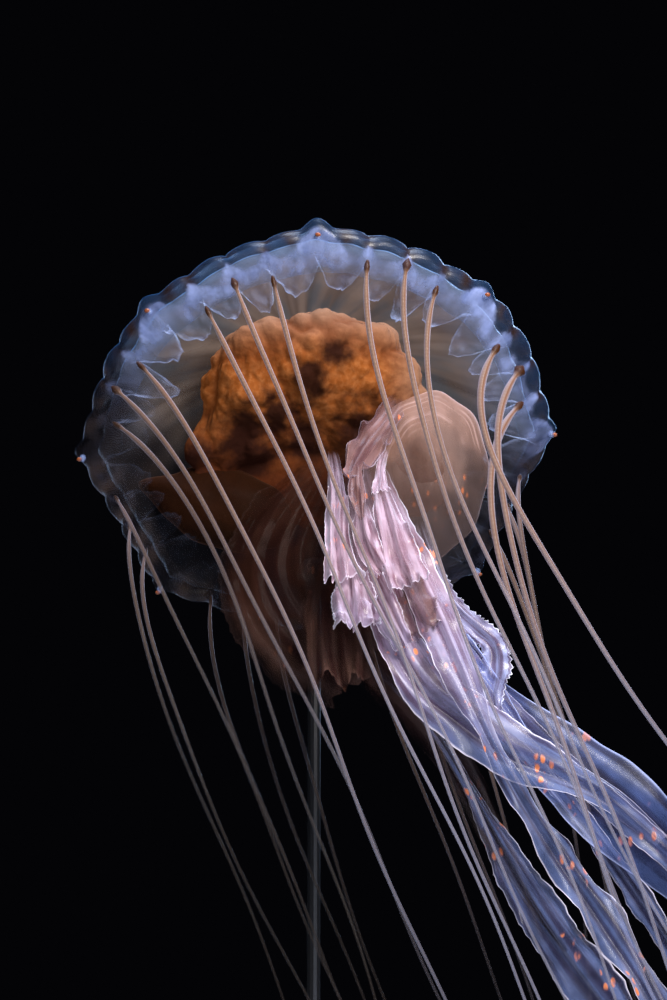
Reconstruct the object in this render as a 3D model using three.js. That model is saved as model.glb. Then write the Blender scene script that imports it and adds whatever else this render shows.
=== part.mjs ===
// A sea nettle, a jellyfish of the genus Chrysaora, as a life-size model on a display stand.
// Millimetres, +Z up, origin in the middle of the stand's underside. The animal swims up and
// back: the crown of its bell leans towards +Y, the open side looks to -Y and down, and the
// arms and tentacles trail down and to +X.

import * as THREE from 'three';

// ---------- driving dimensions ----------

// Bell
const RIM_RADIUS = 103; // to the outer edge of the margin at the two sides
const NEAR_PULL = 3; // the near side is drawn in by this
const SHOULDER_PULL = 3.2; // and halfway to the two sides by this as well
const SHOULDER_POWER = 1.2; // less is broader
const CORNER_RADIUS = 100; // the far half is drawn in to eight-sided corners
const CORNERED_FROM = -0.9; // which grow between these two sines of the angle round the axis
const CORNERED_TO = 0.3;
const DOME_HEIGHT = 74; // crown above the plane of the margin
const DOME_POWER = 2.2; // 2 is a paraboloid, more is squarer
const WALL_AT_CROWN = 10;
const WALL_AT_RIM = 4;
const LIP_RADIUS = 84; // where the lappets end, turned inwards
const LIP_DROP = 7; // how far the lappets hang below the plane of the margin
const LIP_WIDTH = 5; // the lip thickens from its edge over this
const LIP_INNER_SHARE = 1.2; // of the lip's width: all inside this belongs to the lappets
const LAPPET_REACH = 5; // how far a lappet's middle stands past its clefts
const SCALLOP = 1.6; // and how far it bows out at the margin
const SCALLOP_RISE = 8; // a power that keeps the scallops near the margin
const ROLL_TOP = 4; // the margin's outer roll starts above its plane
const ROLL_BOTTOM = 2; // and turns in below it
const ROLL_TUCK = 1.5;
const SENSE_BUMP = 3; // the margin stands out at its eight sense organs
const SENSE_BUMP_NEAR = 5; // and most at the nearest one
const SENSE_BUMP_NEARNESS = 4; // a power that keeps the others small
const SENSE_BUMP_RISE = 8; // powers that keep the bump near the margin
const SENSE_BUMP_NARROW = 12; // and near the organ
const BELL_CENTRE = new THREE.Vector3(-26, -22, 490);
const FAR_FROM = -0.25; // the near half passes into the far half between these two sines of
const FAR_TO = 0.3; // the angle round the axis
const BANK_DEG = -41.3; // crown back
const ROLL_DEG = -5.5; // crown to the left

// The margin repeats eight times, with a sense organ at each end of an octant and three
// tentacles in it, one in every cleft between two of its four lappets.
const OCTANTS = 8;
const OCTANT_DEG = 360 / OCTANTS;
const CLEFTS_DEG = [0, 12.5, 22.5, 32.5, 45];
const LAPPETS = CLEFTS_DEG.length - 1;
const SEGMENTS_PER_LAPPET = 3;
const OUTER_SHARES = [0, 0.35, 0.63, 0.84, 0.97]; // rings of the dome, by share of its radius
const INNER_SHARES = [0.98, 0.84, 0.63, 0.35, 0];

// Gonads: four pouches round the stomach, under the crown
const POUCH_RADIUS_NEAR = 48;
const POUCH_RADIUS_FAR = 63;
const POUCH_SHIFT = 5; // the four stand this far off the bell's axis, to the far side
const POUCH_CORNER = 1.04; // the near pouches merge, and stand out a little at their middles
const POUCH_WAIST = 0.78; // radius between two far pouches, as a share of the pouch's
const POUCH_SAG = 16; // the far pouches hang lower
const STOMACH_TOP = 58;
const STOMACH_BOTTOM = 20.5;
const POUCH_FULLNESS = 0.8; // 1 is a round section, less is squarer
const POUCH_TAPER = 0.2; // narrower above and wider below by this share
const POUCH_LUMP = 1.6; // the folded tissue stands in and out by this
const POUCH_LUMPS = 9; // folds round the four
const POUCH_LUMP_TWIST = 6; // radians of turn of the folds over half the height

// Tentacles
const ROOT_AT_SIDE = 0.866; // tentacle roots, as a share of the margin's radius
const ROOT_AT_MIDDLE = 0.915; // the middle tentacle of three sits further out
const ROOT_AT_FAR = 0.95; // and all of them do on the far half
const ROOT_OUT = [0, 0, 0, 0, 0.03, 0, 0.045, 0.03]; // and these are added, for each octant
const ROOT_CLEARANCE_NEAR = 1.35; // from a root's middle up to the margin, in root radii
const ROOT_CLEARANCE_FAR = 0.5;
const ROOT_DIAMETERS = [2.6, 2.2, 2.2, 2.2, 2.8, 2.6, 3.0, 4.0]; // of each octant's tentacles
const NECK_SHARE = 0.55; // a tentacle starts at this share of its width
const NECK_LENGTH = 14; // and widens over this
const TIP_DIAMETER = 0.9;
const TENTACLE_TAPER = 0.42; // a power: 1 is an even taper, less thins soonest at the root
const TENTACLE_LENGTH = 400;
const TENTACLE_SPREAD = 30; // lengths differ by up to this, either way
const INWARD_NEAR = 1; // lean at the root, across for each millimetre along the axis
const INWARD_FAR = -0.3;
const INWARD_FROM = -0.1; // the lean changes between these two sines of the angle
const INWARD_TO = 0.5;
const TURN_LENGTH = 48; // over this length a tentacle turns into the trailing direction
const TENTACLE_SWAY = 2.5;
const TENTACLE_WAVELENGTH = 170;
const UPPER_SHARE = 0.42; // the upper length, as a share of the whole
const JOINT_GAP = 0.4; // between any two solids that meet

// How far each tentacle drifts to +X for each millimetre of fall, three to an octant, from
// the octant at +X round by the far side.
const DRIFT = [
  [0.26, 0.12, 0.24],
  [0.3, 0.36, 0.4],
  [0.36, 0.42, 0.46],
  [0.5, 0.44, 0.44],
  [0.32, 0.46, 0.4],
  [0.42, 0.47, 0.37],
  [0.37, 0.42, 0.46],
  [0.66, 0.37, 0.35],
];
const DEPTH_DRIFT_NEAR = [-0.12, -0.03, -0.09]; // to +Y, for each millimetre of fall
const DEPTH_DRIFT_FAR = [0.03, 0.11, 0.07];

// Stand
const BASE_RADIUS = 105;
const BASE_THICKNESS = 12;
const BASE_EDGE = 2;
const BASE_SEGMENTS = 40;
const ROD_RADIUS = 3;
const ROD_BEND = 12; // radius of its bend, on the middle line
const ROD_COLLAR_RADIUS = 8;
const ROD_COLLAR_HEIGHT = 7;
const ROD_COLLAR_SLOPE = 2;
const ROD_SIDES = 12;
const ROD_BEND_STEPS = 6;
const PAD_NECK = 4; // the rod widens to the pad over this
const PAD_RADIUS = 8;
const PAD_THICKNESS = 3;
const PAD_GAP = 1.2; // from the dome's smooth line, which its flat facets cross a little
const PAD_AT_SHARE = 0.84; // of the dome's radius, on its far side

// ---------- materials ----------

const bellMaterial = new THREE.MeshStandardMaterial({
  color: 0x8da3c8, roughness: 0.25, metalness: 0, transparent: true, opacity: 0.45,
});
const gonadMaterial = new THREE.MeshStandardMaterial({
  color: 0xb56a3a, roughness: 0.45, metalness: 0,
});
const armMaterial = new THREE.MeshStandardMaterial({
  color: 0xdcb9cf, roughness: 0.35, metalness: 0, transparent: true, opacity: 0.8,
});
const tentacleMaterial = new THREE.MeshStandardMaterial({
  color: 0xcfc0b4, roughness: 0.35, metalness: 0,
});
const standMaterial = new THREE.MeshStandardMaterial({
  color: 0x151517, roughness: 0.35, metalness: 0.6,
});

// ---------- small helpers ----------

const radians = THREE.MathUtils.degToRad;
const lerp = THREE.MathUtils.lerp;
const smoothstep = THREE.MathUtils.smoothstep;

// The same value between -1 and 1 for the same number every time.
function wander(number) {
  return Math.sin(number * 12.9898 + Math.cos(number * 4.1414) * 7.3);
}

// Moves every vertex of a geometry to where place() puts it.
function reshape(geometry, place) {
  const position = geometry.attributes.position;
  const vertex = new THREE.Vector3();
  for (let i = 0; i < position.count; i += 1) {
    vertex.fromBufferAttribute(position, i);
    place(vertex);
    position.setXYZ(i, vertex.x, vertex.y, vertex.z);
  }
  geometry.computeVertexNormals();
  return geometry;
}

// ---------- the bell ----------

// 0 on the near half of the bell and 1 on the far half, for an angle round its axis.
function farness(angle) {
  return smoothstep(Math.sin(angle), FAR_FROM, FAR_TO);
}

// Radius of the margin: rounded on the near side, eight straight stretches on the far side.
function marginRadius(angle) {
  let nearRadius = RIM_RADIUS - NEAR_PULL * Math.max(0, -Math.sin(angle));
  if (Math.sin(angle) < 0) {
    nearRadius -= SHOULDER_PULL * Math.abs(Math.sin(2 * angle)) ** SHOULDER_POWER;
  }
  const step = radians(OCTANT_DEG);
  const fromCorner = ((angle % step) + step) % step;
  const fromMiddle = fromCorner - step / 2;
  const farRadius = (CORNER_RADIUS * Math.cos(step / 2)) / Math.cos(fromMiddle);
  const cornered = smoothstep(Math.sin(angle), CORNERED_FROM, CORNERED_TO);
  return lerp(nearRadius, farRadius, cornered);
}

// Turns evenly spaced segments into ones that start and end at the clefts.
function lappetAngle(evenAngle) {
  const turns = evenAngle / (2 * Math.PI) + 1;
  const inOctants = (turns % 1) * OCTANTS;
  const octant = Math.floor(inOctants + 1e-6);
  const inLappets = (inOctants - octant) * LAPPETS;
  const lappet = Math.min(LAPPETS - 1, Math.floor(inLappets + 1e-6));
  const share = inLappets - lappet;
  const degrees = lerp(CLEFTS_DEG[lappet], CLEFTS_DEG[lappet + 1], share);
  return { angle: radians(octant * OCTANT_DEG + degrees), share };
}

// Height of the dome at a share of its radius.
function domeHeight(share, height) {
  return height * (1 - share ** DOME_POWER);
}

// Half section of the bell, from under the crown out to the lip, round the rim and back over
// the crown. Radii are shares of the rim's.
function bellProfile() {
  const profile = [];
  const inside = RIM_RADIUS - WALL_AT_RIM;
  const addPoint = (radius, height) => {
    profile.push(new THREE.Vector2(radius / RIM_RADIUS, height));
  };
  for (const share of OUTER_SHARES) {
    addPoint(share * RIM_RADIUS, domeHeight(share, DOME_HEIGHT));
  }
  addPoint(RIM_RADIUS, ROLL_TOP);
  addPoint(RIM_RADIUS - ROLL_TUCK, -ROLL_BOTTOM);
  addPoint(LIP_RADIUS + LIP_WIDTH, -LIP_DROP);
  addPoint(LIP_RADIUS, 1 - LIP_DROP);
  addPoint(LIP_RADIUS + LIP_WIDTH, WALL_AT_RIM - LIP_DROP);
  for (const share of INNER_SHARES) {
    addPoint(share * inside, domeHeight(share, DOME_HEIGHT - WALL_AT_CROWN));
  }
  return profile.reverse();
}

// The half section is turned round the Y axis, and the body laid over so that this becomes
// the bell's own axis.
function bellGeometry() {
  const segments = OCTANTS * LAPPETS * SEGMENTS_PER_LAPPET;
  const geometry = new THREE.LatheGeometry(bellProfile(), segments);
  geometry.rotateX(Math.PI / 2);
  const lipEnd = (LIP_RADIUS + LIP_INNER_SHARE * LIP_WIDTH) / RIM_RADIUS;
  return reshape(geometry, (vertex) => {
    const share = Math.hypot(vertex.x, vertex.y);
    if (share < 1e-9) {
      return;
    }
    const { angle, share: across } = lappetAngle(Math.atan2(vertex.y, vertex.x));
    const spread = (marginRadius(angle) - RIM_RADIUS) * share ** 2;
    let radius = share * RIM_RADIUS + spread;
    if (vertex.z < 0 && share < lipEnd) {
      radius -= LAPPET_REACH * Math.sin(Math.PI * across);
    }
    radius += SCALLOP * share ** SCALLOP_RISE * Math.sin(Math.PI * across);
    const nearOrgan = Math.cos((angle * OCTANTS) / 2) ** SENSE_BUMP_NARROW;
    const nearness = Math.max(0, -Math.sin(angle)) ** SENSE_BUMP_NEARNESS;
    const bump = lerp(SENSE_BUMP, SENSE_BUMP_NEAR, nearness);
    radius += bump * share ** SENSE_BUMP_RISE * nearOrgan;
    vertex.x = radius * Math.cos(angle);
    vertex.y = radius * Math.sin(angle);
  });
}

const bellPose = new THREE.Group();
bellPose.position.copy(BELL_CENTRE);
bellPose.rotation.set(radians(BANK_DEG), radians(ROLL_DEG), 0);
bellPose.updateMatrixWorld();

function fromBell(x, y, z) {
  return bellPose.localToWorld(new THREE.Vector3(x, y, z));
}

function directionFromBell(x, y, z) {
  return new THREE.Vector3(x, y, z).transformDirection(bellPose.matrixWorld);
}

// ---------- the gonads ----------

function pouchRadius(angle) {
  const atMiddle = Math.sin(2 * angle) ** 2;
  const near = POUCH_RADIUS_NEAR * lerp(1, POUCH_CORNER, atMiddle);
  const far = POUCH_RADIUS_FAR * lerp(POUCH_WAIST, 1, atMiddle);
  return lerp(near, far, farness(angle));
}

function gonadGeometry() {
  const geometry = new THREE.SphereGeometry(1, 32, 12);
  geometry.rotateX(Math.PI / 2);
  const middle = (STOMACH_TOP + STOMACH_BOTTOM) / 2;
  const halfHeight = (STOMACH_TOP - STOMACH_BOTTOM) / 2;
  return reshape(geometry, (vertex) => {
    const angle = Math.atan2(vertex.y, vertex.x);
    const flat = Math.hypot(vertex.x, vertex.y);
    const lump = POUCH_LUMP * Math.sin(POUCH_LUMPS * angle + POUCH_LUMP_TWIST * vertex.z) * flat;
    const full = pouchRadius(angle) * flat ** POUCH_FULLNESS + lump;
    const radius = full * (1 - POUCH_TAPER * vertex.z);
    const sag = POUCH_SAG * farness(angle) * flat ** 2;
    vertex.x = radius * Math.cos(angle);
    vertex.y = radius * Math.sin(angle) + POUCH_SHIFT;
    vertex.z = middle + halfHeight * vertex.z - sag;
  });
}

// ---------- bodies that follow a route ----------

// A route leaves its root in one direction and turns into another over a turning length.
function makeRoute({ root, start, end, turn, sway }) {
  return (distance) => {
    const turned = turn * (1 - Math.exp(-distance / turn));
    const point = root.clone();
    point.addScaledVector(start, turned);
    point.addScaledVector(end, distance - turned);
    const phase = (2 * Math.PI * distance) / sway.wavelength + sway.phase;
    const size = sway.size * (1 - Math.exp(-distance / sway.wavelength));
    point.x += size * (Math.sin(phase) - Math.sin(sway.phase));
    point.y += size * (Math.cos(phase) - Math.cos(sway.phase));
    return point;
  };
}

// Steps along a body are shorter near its root, where it bends most.
const STEP_POWER = 1.3;

function frameOn(route, distance) {
  const ahead = route(distance + 0.5);
  const along = ahead.sub(route(Math.max(0, distance - 0.5))).normalize();
  const across = new THREE.Vector3().crossVectors(along, new THREE.Vector3(0, 1, 0));
  across.normalize();
  return { along, across };
}

// A closed cylinder is laid along a stretch of a route. section() turns a point of its unit
// circle, at a distance along the route, into offsets across the route and off its plane.
function bodyAlong(route, from, to, sides, steps, section) {
  const geometry = new THREE.CylinderGeometry(1, 1, 1, sides, steps);
  return reshape(geometry, (vertex) => {
    const distance = lerp(from, to, (0.5 - vertex.y) ** STEP_POWER);
    const { along, across } = frameOn(route, distance);
    const { wide, deep } = section(vertex.x, vertex.z, distance);
    const off = new THREE.Vector3().crossVectors(along, across);
    vertex.copy(route(distance));
    vertex.addScaledVector(across, wide);
    vertex.addScaledVector(off, deep);
  });
}

// ---------- tentacles ----------

const TENTACLE_SIDES = 6;
const UPPER_STEPS = 7;
const LOWER_STEPS = 5;

// Height of the margin's underside at a radius: level under the lip, then rising to the rim.
function underside(angle, radius) {
  const level = LIP_RADIUS + LIP_WIDTH;
  const slope = (LIP_DROP - ROLL_BOTTOM) / (RIM_RADIUS - ROLL_TUCK - level);
  const spread = (marginRadius(angle) - RIM_RADIUS) * (level / RIM_RADIUS) ** 2;
  return slope * Math.max(0, radius - level - spread) - LIP_DROP;
}

function tentacleRoute(number) {
  const octant = Math.floor(number / 3);
  const place = number % 3;
  const angle = radians(octant * OCTANT_DEG + CLEFTS_DEG[place + 1]);
  const nearRoot = place === 1 ? ROOT_AT_MIDDLE : ROOT_AT_SIDE;
  const share = lerp(nearRoot, ROOT_AT_FAR, farness(angle)) + ROOT_OUT[octant];
  const radius = share * marginRadius(angle);
  const rootRadius = (NECK_SHARE * ROOT_DIAMETERS[octant]) / 2;
  const clearance = lerp(ROOT_CLEARANCE_NEAR, ROOT_CLEARANCE_FAR, farness(angle)) * rootRadius;
  const outX = Math.cos(angle);
  const outY = Math.sin(angle);
  const inward = lerp(INWARD_NEAR, INWARD_FAR, smoothstep(outY, INWARD_FROM, INWARD_TO));
  const depth = lerp(DEPTH_DRIFT_NEAR[place], DEPTH_DRIFT_FAR[place], farness(angle));
  return makeRoute({
    root: fromBell(radius * outX, radius * outY, underside(angle, radius) - clearance),
    start: directionFromBell(-inward * outX, -inward * outY, -1),
    end: new THREE.Vector3(DRIFT[octant][place], depth, -1).normalize(),
    turn: TURN_LENGTH,
    sway: { size: TENTACLE_SWAY, wavelength: TENTACLE_WAVELENGTH, phase: 2 * number },
  });
}

function tentacleMeshes(number) {
  const name = `tentacle_${String(number + 1).padStart(2, '0')}`;
  const length = TENTACLE_LENGTH + TENTACLE_SPREAD * wander(number);
  const route = tentacleRoute(number);
  const split = length * UPPER_SHARE;
  const rootDiameter = ROOT_DIAMETERS[Math.floor(number / 3)];
  const section = (x, z, distance) => {
    const diameter = lerp(rootDiameter, TIP_DIAMETER, (distance / length) ** TENTACLE_TAPER);
    const radius = (diameter / 2) * lerp(NECK_SHARE, 1, smoothstep(distance, 0, NECK_LENGTH));
    return { wide: radius * x, deep: radius * z };
  };
  const upper = bodyAlong(route, 0, split, TENTACLE_SIDES, UPPER_STEPS, section);
  const lower = bodyAlong(
    route, split + JOINT_GAP, length, TENTACLE_SIDES, LOWER_STEPS, section,
  );
  return [
    named(`${name}_upper`, upper, tentacleMaterial),
    named(`${name}_lower`, lower, tentacleMaterial),
  ];
}

// ---------- oral arms ----------

// Each arm is a ruffled ribbon from the mouth. lean is its drift to +X and depth its drift to
// +Y, for each millimetre of fall. belly is how far its upper part bows out to +X.
const ARMS = [
  {
    name: 'arm_near', angle: -90, side: -0.05, lean: 0.6, depth: -0.05, turn: 120, belly: 0,
    length: 390, upperWidth: 15, lowerWidth: 7.5,
  },
  {
    name: 'arm_right', angle: 0, side: -0.3, lean: 1.6, depth: 0.1, turn: 170, belly: 0,
    length: 340, upperWidth: 12, lowerWidth: 17,
  },
  {
    name: 'arm_far', angle: 90, side: 0.25, lean: 0.85, depth: 0, turn: 130, belly: 0,
    length: 370, upperWidth: 13, lowerWidth: 6,
  },
  {
    name: 'arm_left', angle: 180, side: -0.1, lean: 0.68, depth: 0.02, turn: 75, belly: -24,
    length: 380, upperWidth: 21, lowerWidth: 7.5,
  },
];
const MOUTH = new THREE.Vector3(20, 10, 15);
const ARM_ROOT_RADIUS = 9;
const ARM_BACK_LEAN = 0.25; // the arms leave the mouth this much off the bell's axis
const ARM_SPREAD = 0.2; // and this much away from each other
const ARM_ROOT_WIDTH = 8;
const ARM_THICKNESS = 4;
const ARM_SWAY = 4;
const ARM_WAVELENGTH = 190;
const BELLY_AT = 80; // along the arm
const BELLY_LENGTH = 45; // the bow fades over this, either way
const ARM_SPREAD_BY = 0.22; // shares of the arm's length at which its width changes
const ARM_NARROWS_FROM = 0.38;
const ARM_NARROW_BY = 0.62;
const ARM_TAPERS_FROM = 0.75;
const ARM_TIP_LOSS = 0.8; // share of the width that is lost at the tip
const ARM_SIDES = 12;
const ARM_STEPS = 9;
const RUFFLE_LENGTH = 46;
const RUFFLE_SIZE = 5;
const RUFFLES_FROM = 0.05; // shares of the arm's length over which they grow
const RUFFLES_FULL = 0.3;
const RUFFLE_OFFSET = 1.3; // radians by which the ruffles of the two edges differ

function armWidth(share, upperWidth, lowerWidth) {
  const spread = lerp(ARM_ROOT_WIDTH, upperWidth, smoothstep(share, 0, ARM_SPREAD_BY));
  const narrowed = lerp(spread, lowerWidth, smoothstep(share, ARM_NARROWS_FROM, ARM_NARROW_BY));
  return narrowed * (1 - ARM_TIP_LOSS * smoothstep(share, ARM_TAPERS_FROM, 1));
}

function armMeshes(arm) {
  const { name, angle, side, lean, depth, turn, belly, length, upperWidth, lowerWidth } = arm;
  const outX = Math.cos(radians(angle));
  const outY = Math.sin(radians(angle));
  const straight = makeRoute({
    root: fromBell(
      MOUTH.x + ARM_ROOT_RADIUS * outX, MOUTH.y + ARM_ROOT_RADIUS * outY, MOUTH.z,
    ),
    start: directionFromBell(
      side + ARM_SPREAD * outX, ARM_BACK_LEAN + ARM_SPREAD * outY, -1,
    ),
    end: new THREE.Vector3(lean, depth, -1).normalize(),
    turn,
    sway: { size: ARM_SWAY, wavelength: ARM_WAVELENGTH, phase: radians(angle) },
  });
  const route = (distance) => {
    const point = straight(distance);
    point.x += belly * Math.exp(-(((distance - BELLY_AT) / BELLY_LENGTH) ** 2));
    return point;
  };
  const section = (x, z, distance) => {
    const share = distance / length;
    const half = armWidth(share, upperWidth, lowerWidth);
    const grown = smoothstep(share, RUFFLES_FROM, RUFFLES_FULL);
    const size = RUFFLE_SIZE * grown * (half / upperWidth);
    const phase = (2 * Math.PI * distance) / RUFFLE_LENGTH + Math.sign(x) * RUFFLE_OFFSET;
    const ruffle = size * x * x * Math.sin(phase);
    return { wide: half * x, deep: (ARM_THICKNESS / 2) * z + ruffle };
  };
  const split = length * UPPER_SHARE;
  const upper = bodyAlong(route, 0, split, ARM_SIDES, ARM_STEPS, section);
  const lower = bodyAlong(route, split + JOINT_GAP, length, ARM_SIDES, ARM_STEPS, section);
  return [
    named(`${name}_upper`, upper, armMaterial),
    named(`${name}_lower`, lower, armMaterial),
  ];
}

// ---------- the stand ----------

function baseGeometry() {
  const profile = [
    new THREE.Vector2(0, 0),
    new THREE.Vector2(BASE_RADIUS, 0),
    new THREE.Vector2(BASE_RADIUS, BASE_THICKNESS - BASE_EDGE),
    new THREE.Vector2(BASE_RADIUS - BASE_EDGE, BASE_THICKNESS),
    new THREE.Vector2(0, BASE_THICKNESS),
  ];
  return new THREE.LatheGeometry(profile, BASE_SEGMENTS).rotateX(Math.PI / 2);
}

// The rod rises behind the tentacles, bends over and ends in a round pad against the far
// side of the bell. rings lists its middle line, direction and radius from foot to pad.
function rodGeometry() {
  const share = PAD_AT_SHARE;
  const angle = Math.PI / 2;
  const radius = share * RIM_RADIUS + (marginRadius(angle) - RIM_RADIUS) * share ** 2;
  const slope = (DOME_HEIGHT * DOME_POWER * share ** (DOME_POWER - 1)) / RIM_RADIUS;
  const face = fromBell(0, radius, domeHeight(share, DOME_HEIGHT));
  const outward = directionFromBell(0, slope, 1);
  face.addScaledVector(outward, PAD_GAP);
  const sweep = Math.atan2(outward.y, -outward.z);
  const rings = [];
  const addRing = (y, z, turned, size) => {
    const along = new THREE.Vector3(0, -Math.sin(turned), Math.cos(turned));
    rings.push({ y, z, along, size });
  };
  const back = PAD_THICKNESS + PAD_NECK;
  const rodY = face.y + back * Math.sin(sweep) + ROD_BEND * (1 - Math.cos(sweep));
  const bendZ = face.z - back * Math.cos(sweep) - ROD_BEND * Math.sin(sweep);
  const foot = BASE_THICKNESS + JOINT_GAP;
  addRing(rodY, foot, 0, ROD_COLLAR_RADIUS);
  addRing(rodY, foot + ROD_COLLAR_HEIGHT - ROD_COLLAR_SLOPE, 0, ROD_COLLAR_RADIUS);
  addRing(rodY, foot + ROD_COLLAR_HEIGHT, 0, ROD_RADIUS);
  for (let step = 0; step <= ROD_BEND_STEPS; step += 1) {
    const turned = (sweep * step) / ROD_BEND_STEPS;
    const y = rodY - ROD_BEND * (1 - Math.cos(turned));
    addRing(y, bendZ + ROD_BEND * Math.sin(turned), turned, ROD_RADIUS);
  }
  addRing(face.y + back * Math.sin(sweep), face.z - back * Math.cos(sweep), sweep, ROD_RADIUS);
  const padY = face.y + PAD_THICKNESS * Math.sin(sweep);
  const padZ = face.z - PAD_THICKNESS * Math.cos(sweep);
  addRing(padY, padZ, sweep, PAD_RADIUS);
  addRing(face.y, face.z, sweep, PAD_RADIUS);
  const last = rings.length - 1;
  const geometry = new THREE.CylinderGeometry(1, 1, 1, ROD_SIDES, last);
  const across = new THREE.Vector3(1, 0, 0);
  return reshape(geometry, (vertex) => {
    const ring = rings[Math.round((0.5 - vertex.y) * last)];
    const off = new THREE.Vector3().crossVectors(ring.along, across);
    const { x, z } = vertex;
    vertex.set(face.x, ring.y, ring.z);
    vertex.addScaledVector(across, ring.size * x);
    vertex.addScaledVector(off, ring.size * z);
  });
}

// ---------- the whole model ----------

function named(name, geometry, material) {
  const mesh = new THREE.Mesh(geometry, material);
  mesh.name = name;
  return mesh;
}

const jellyfish = new THREE.Group();
jellyfish.add(bellPose);
bellPose.add(named('bell', bellGeometry(), bellMaterial));
bellPose.add(named('gonads', gonadGeometry(), gonadMaterial));
for (let number = 0; number < OCTANTS * 3; number += 1) {
  jellyfish.add(...tentacleMeshes(number));
}
for (const arm of ARMS) {
  jellyfish.add(...armMeshes(arm));
}
jellyfish.add(named('stand_base', baseGeometry(), standMaterial));
jellyfish.add(named('stand_rod', rodGeometry(), standMaterial));

export default jellyfish;
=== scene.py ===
import math

import bpy
from mathutils import Matrix, Vector, noise


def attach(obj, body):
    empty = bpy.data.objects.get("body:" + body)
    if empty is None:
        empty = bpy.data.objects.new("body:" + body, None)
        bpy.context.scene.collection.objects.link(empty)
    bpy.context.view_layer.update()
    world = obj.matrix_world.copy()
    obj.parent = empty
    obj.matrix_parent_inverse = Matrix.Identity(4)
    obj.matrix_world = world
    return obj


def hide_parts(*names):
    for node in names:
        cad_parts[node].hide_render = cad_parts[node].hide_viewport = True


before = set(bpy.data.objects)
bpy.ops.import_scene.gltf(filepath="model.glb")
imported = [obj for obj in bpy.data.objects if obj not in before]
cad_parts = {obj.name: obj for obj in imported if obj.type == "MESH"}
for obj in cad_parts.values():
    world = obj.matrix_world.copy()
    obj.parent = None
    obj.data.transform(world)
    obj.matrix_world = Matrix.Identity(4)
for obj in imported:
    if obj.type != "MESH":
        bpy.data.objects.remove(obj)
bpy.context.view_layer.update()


# ---------- the bell ----------
# The bell is one piece of clear, watery jelly with a scalloped margin. It is thick at the
# crown and thin at the margin, which rolls under into a pale band that bears the tentacles.
# Here it is one closed skin, laid on a grid that runs round the bell and over its section.

BELL_CENTRE = Vector((-0.026, -0.022, 0.490))
BANK = math.radians(-41.3)
ROLL = math.radians(-5.5)
RIM_RADIUS = 0.103
NEAR_PULL = 0.003
SHOULDER_PULL = 0.0032
SHOULDER_POWER = 1.2
CORNER_RADIUS = 0.100
DOME_HEIGHT = 0.074
INNER_HEIGHT = 0.064
INNER_RADIUS = 0.099
DOME_POWER = 2.2
OCTANT = math.radians(45)
CLEFTS = [4.0, 12.5, 22.5, 32.5, 41.0]  # degrees from a sense organ, between two lobes
LOBE_HEIGHT = 0.0024
ORGAN_HEIGHT = 0.0032
ORGAN_HEIGHT_NEAR = 0.0054
ORGAN_LIFT = 0.0024
PATCH_DEGREES = [6.5, 12.5, 22.5, 32.5, 38.5]  # the middles of the brown patches, from a sense organ
CREASE_DEPTH = 0.0007
UNEVENNESS = 0.0009
BELL_COLUMNS = 384
BELL_ROWS = 132
DOME_END = 0.38  # shares of the rows: over the dome, round the rim, and back inside
RIM_END = 0.60
RIM_SECTION = [  # out from the margin and up from its plane
    (-0.0036, 0.0062), (-0.0010, 0.0038), (0.0000, 0.0010), (-0.0004, -0.0016),
    (-0.0022, -0.0038), (-0.0060, -0.0050), (-0.0100, -0.0062), (-0.0135, -0.0070),
    (-0.0158, -0.0064), (-0.0150, -0.0052), (-0.0115, -0.0036), (-0.0085, 0.0005),
    (-0.0090, 0.0077),
]

bell_place = (
    Matrix.Translation(BELL_CENTRE) @ Matrix.Rotation(BANK, 4, "X") @ Matrix.Rotation(ROLL, 4, "Y")
)


def clamp(value):
    return min(1.0, max(0.0, value))


def smooth(value, low, high):
    share = clamp((value - low) / (high - low))
    return share * share * (3 - 2 * share)


def mix(low, high, share):
    return low + (high - low) * share


def on_curve(points, share):
    """The point at a share of a smooth curve through evenly spaced points."""
    last = len(points) - 1
    place = clamp(share) * last
    step = min(last - 1, int(place))
    part = place - step
    near = [Vector(points[min(last, max(0, step + k))]) for k in (-1, 0, 1, 2)]
    bend = (near[3] - near[0] + 3 * (near[1] - near[2])) * part
    bend += 2 * near[0] - 5 * near[1] + 4 * near[2] - near[3]
    return near[1] + 0.5 * part * (near[2] - near[0] + bend * part)


def farness(angle):
    return smooth(math.sin(angle), -0.25, 0.3)


def margin_radius(angle):
    """Rounded on the near half and eight-sided on the far half, as the solid is."""
    near = RIM_RADIUS - NEAR_PULL * max(0.0, -math.sin(angle))
    if math.sin(angle) < 0:
        near -= SHOULDER_PULL * abs(math.sin(2 * angle)) ** SHOULDER_POWER
    from_middle = angle % OCTANT - OCTANT / 2
    far = CORNER_RADIUS * math.cos(OCTANT / 2) / math.cos(from_middle)
    return mix(near, far, smooth(math.sin(angle), -0.9, 0.3))


def from_organ(angle):
    """Degrees to the nearest of the eight sense organs."""
    degrees = math.degrees(angle % OCTANT)
    return min(degrees, 45 - degrees)


def lobe(angle):
    """0 in a cleft of the margin and 1 in the middle of a lobe."""
    degrees = math.degrees(angle % OCTANT)
    for low, high in zip(CLEFTS, CLEFTS[1:]):
        if low <= degrees < high:
            return math.sin(math.pi * (degrees - low) / (high - low)) ** 0.7
    return 0.0


def organ(angle):
    return math.exp(-((from_organ(angle) / 3.6) ** 2))


def near_cleft(angle):
    """1 in a cleft of the margin, falling off over a few degrees."""
    degrees = math.degrees(angle % OCTANT)
    return max(math.exp(-(((degrees - middle) / 2.6) ** 2)) for middle in PATCH_DEGREES)


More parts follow.
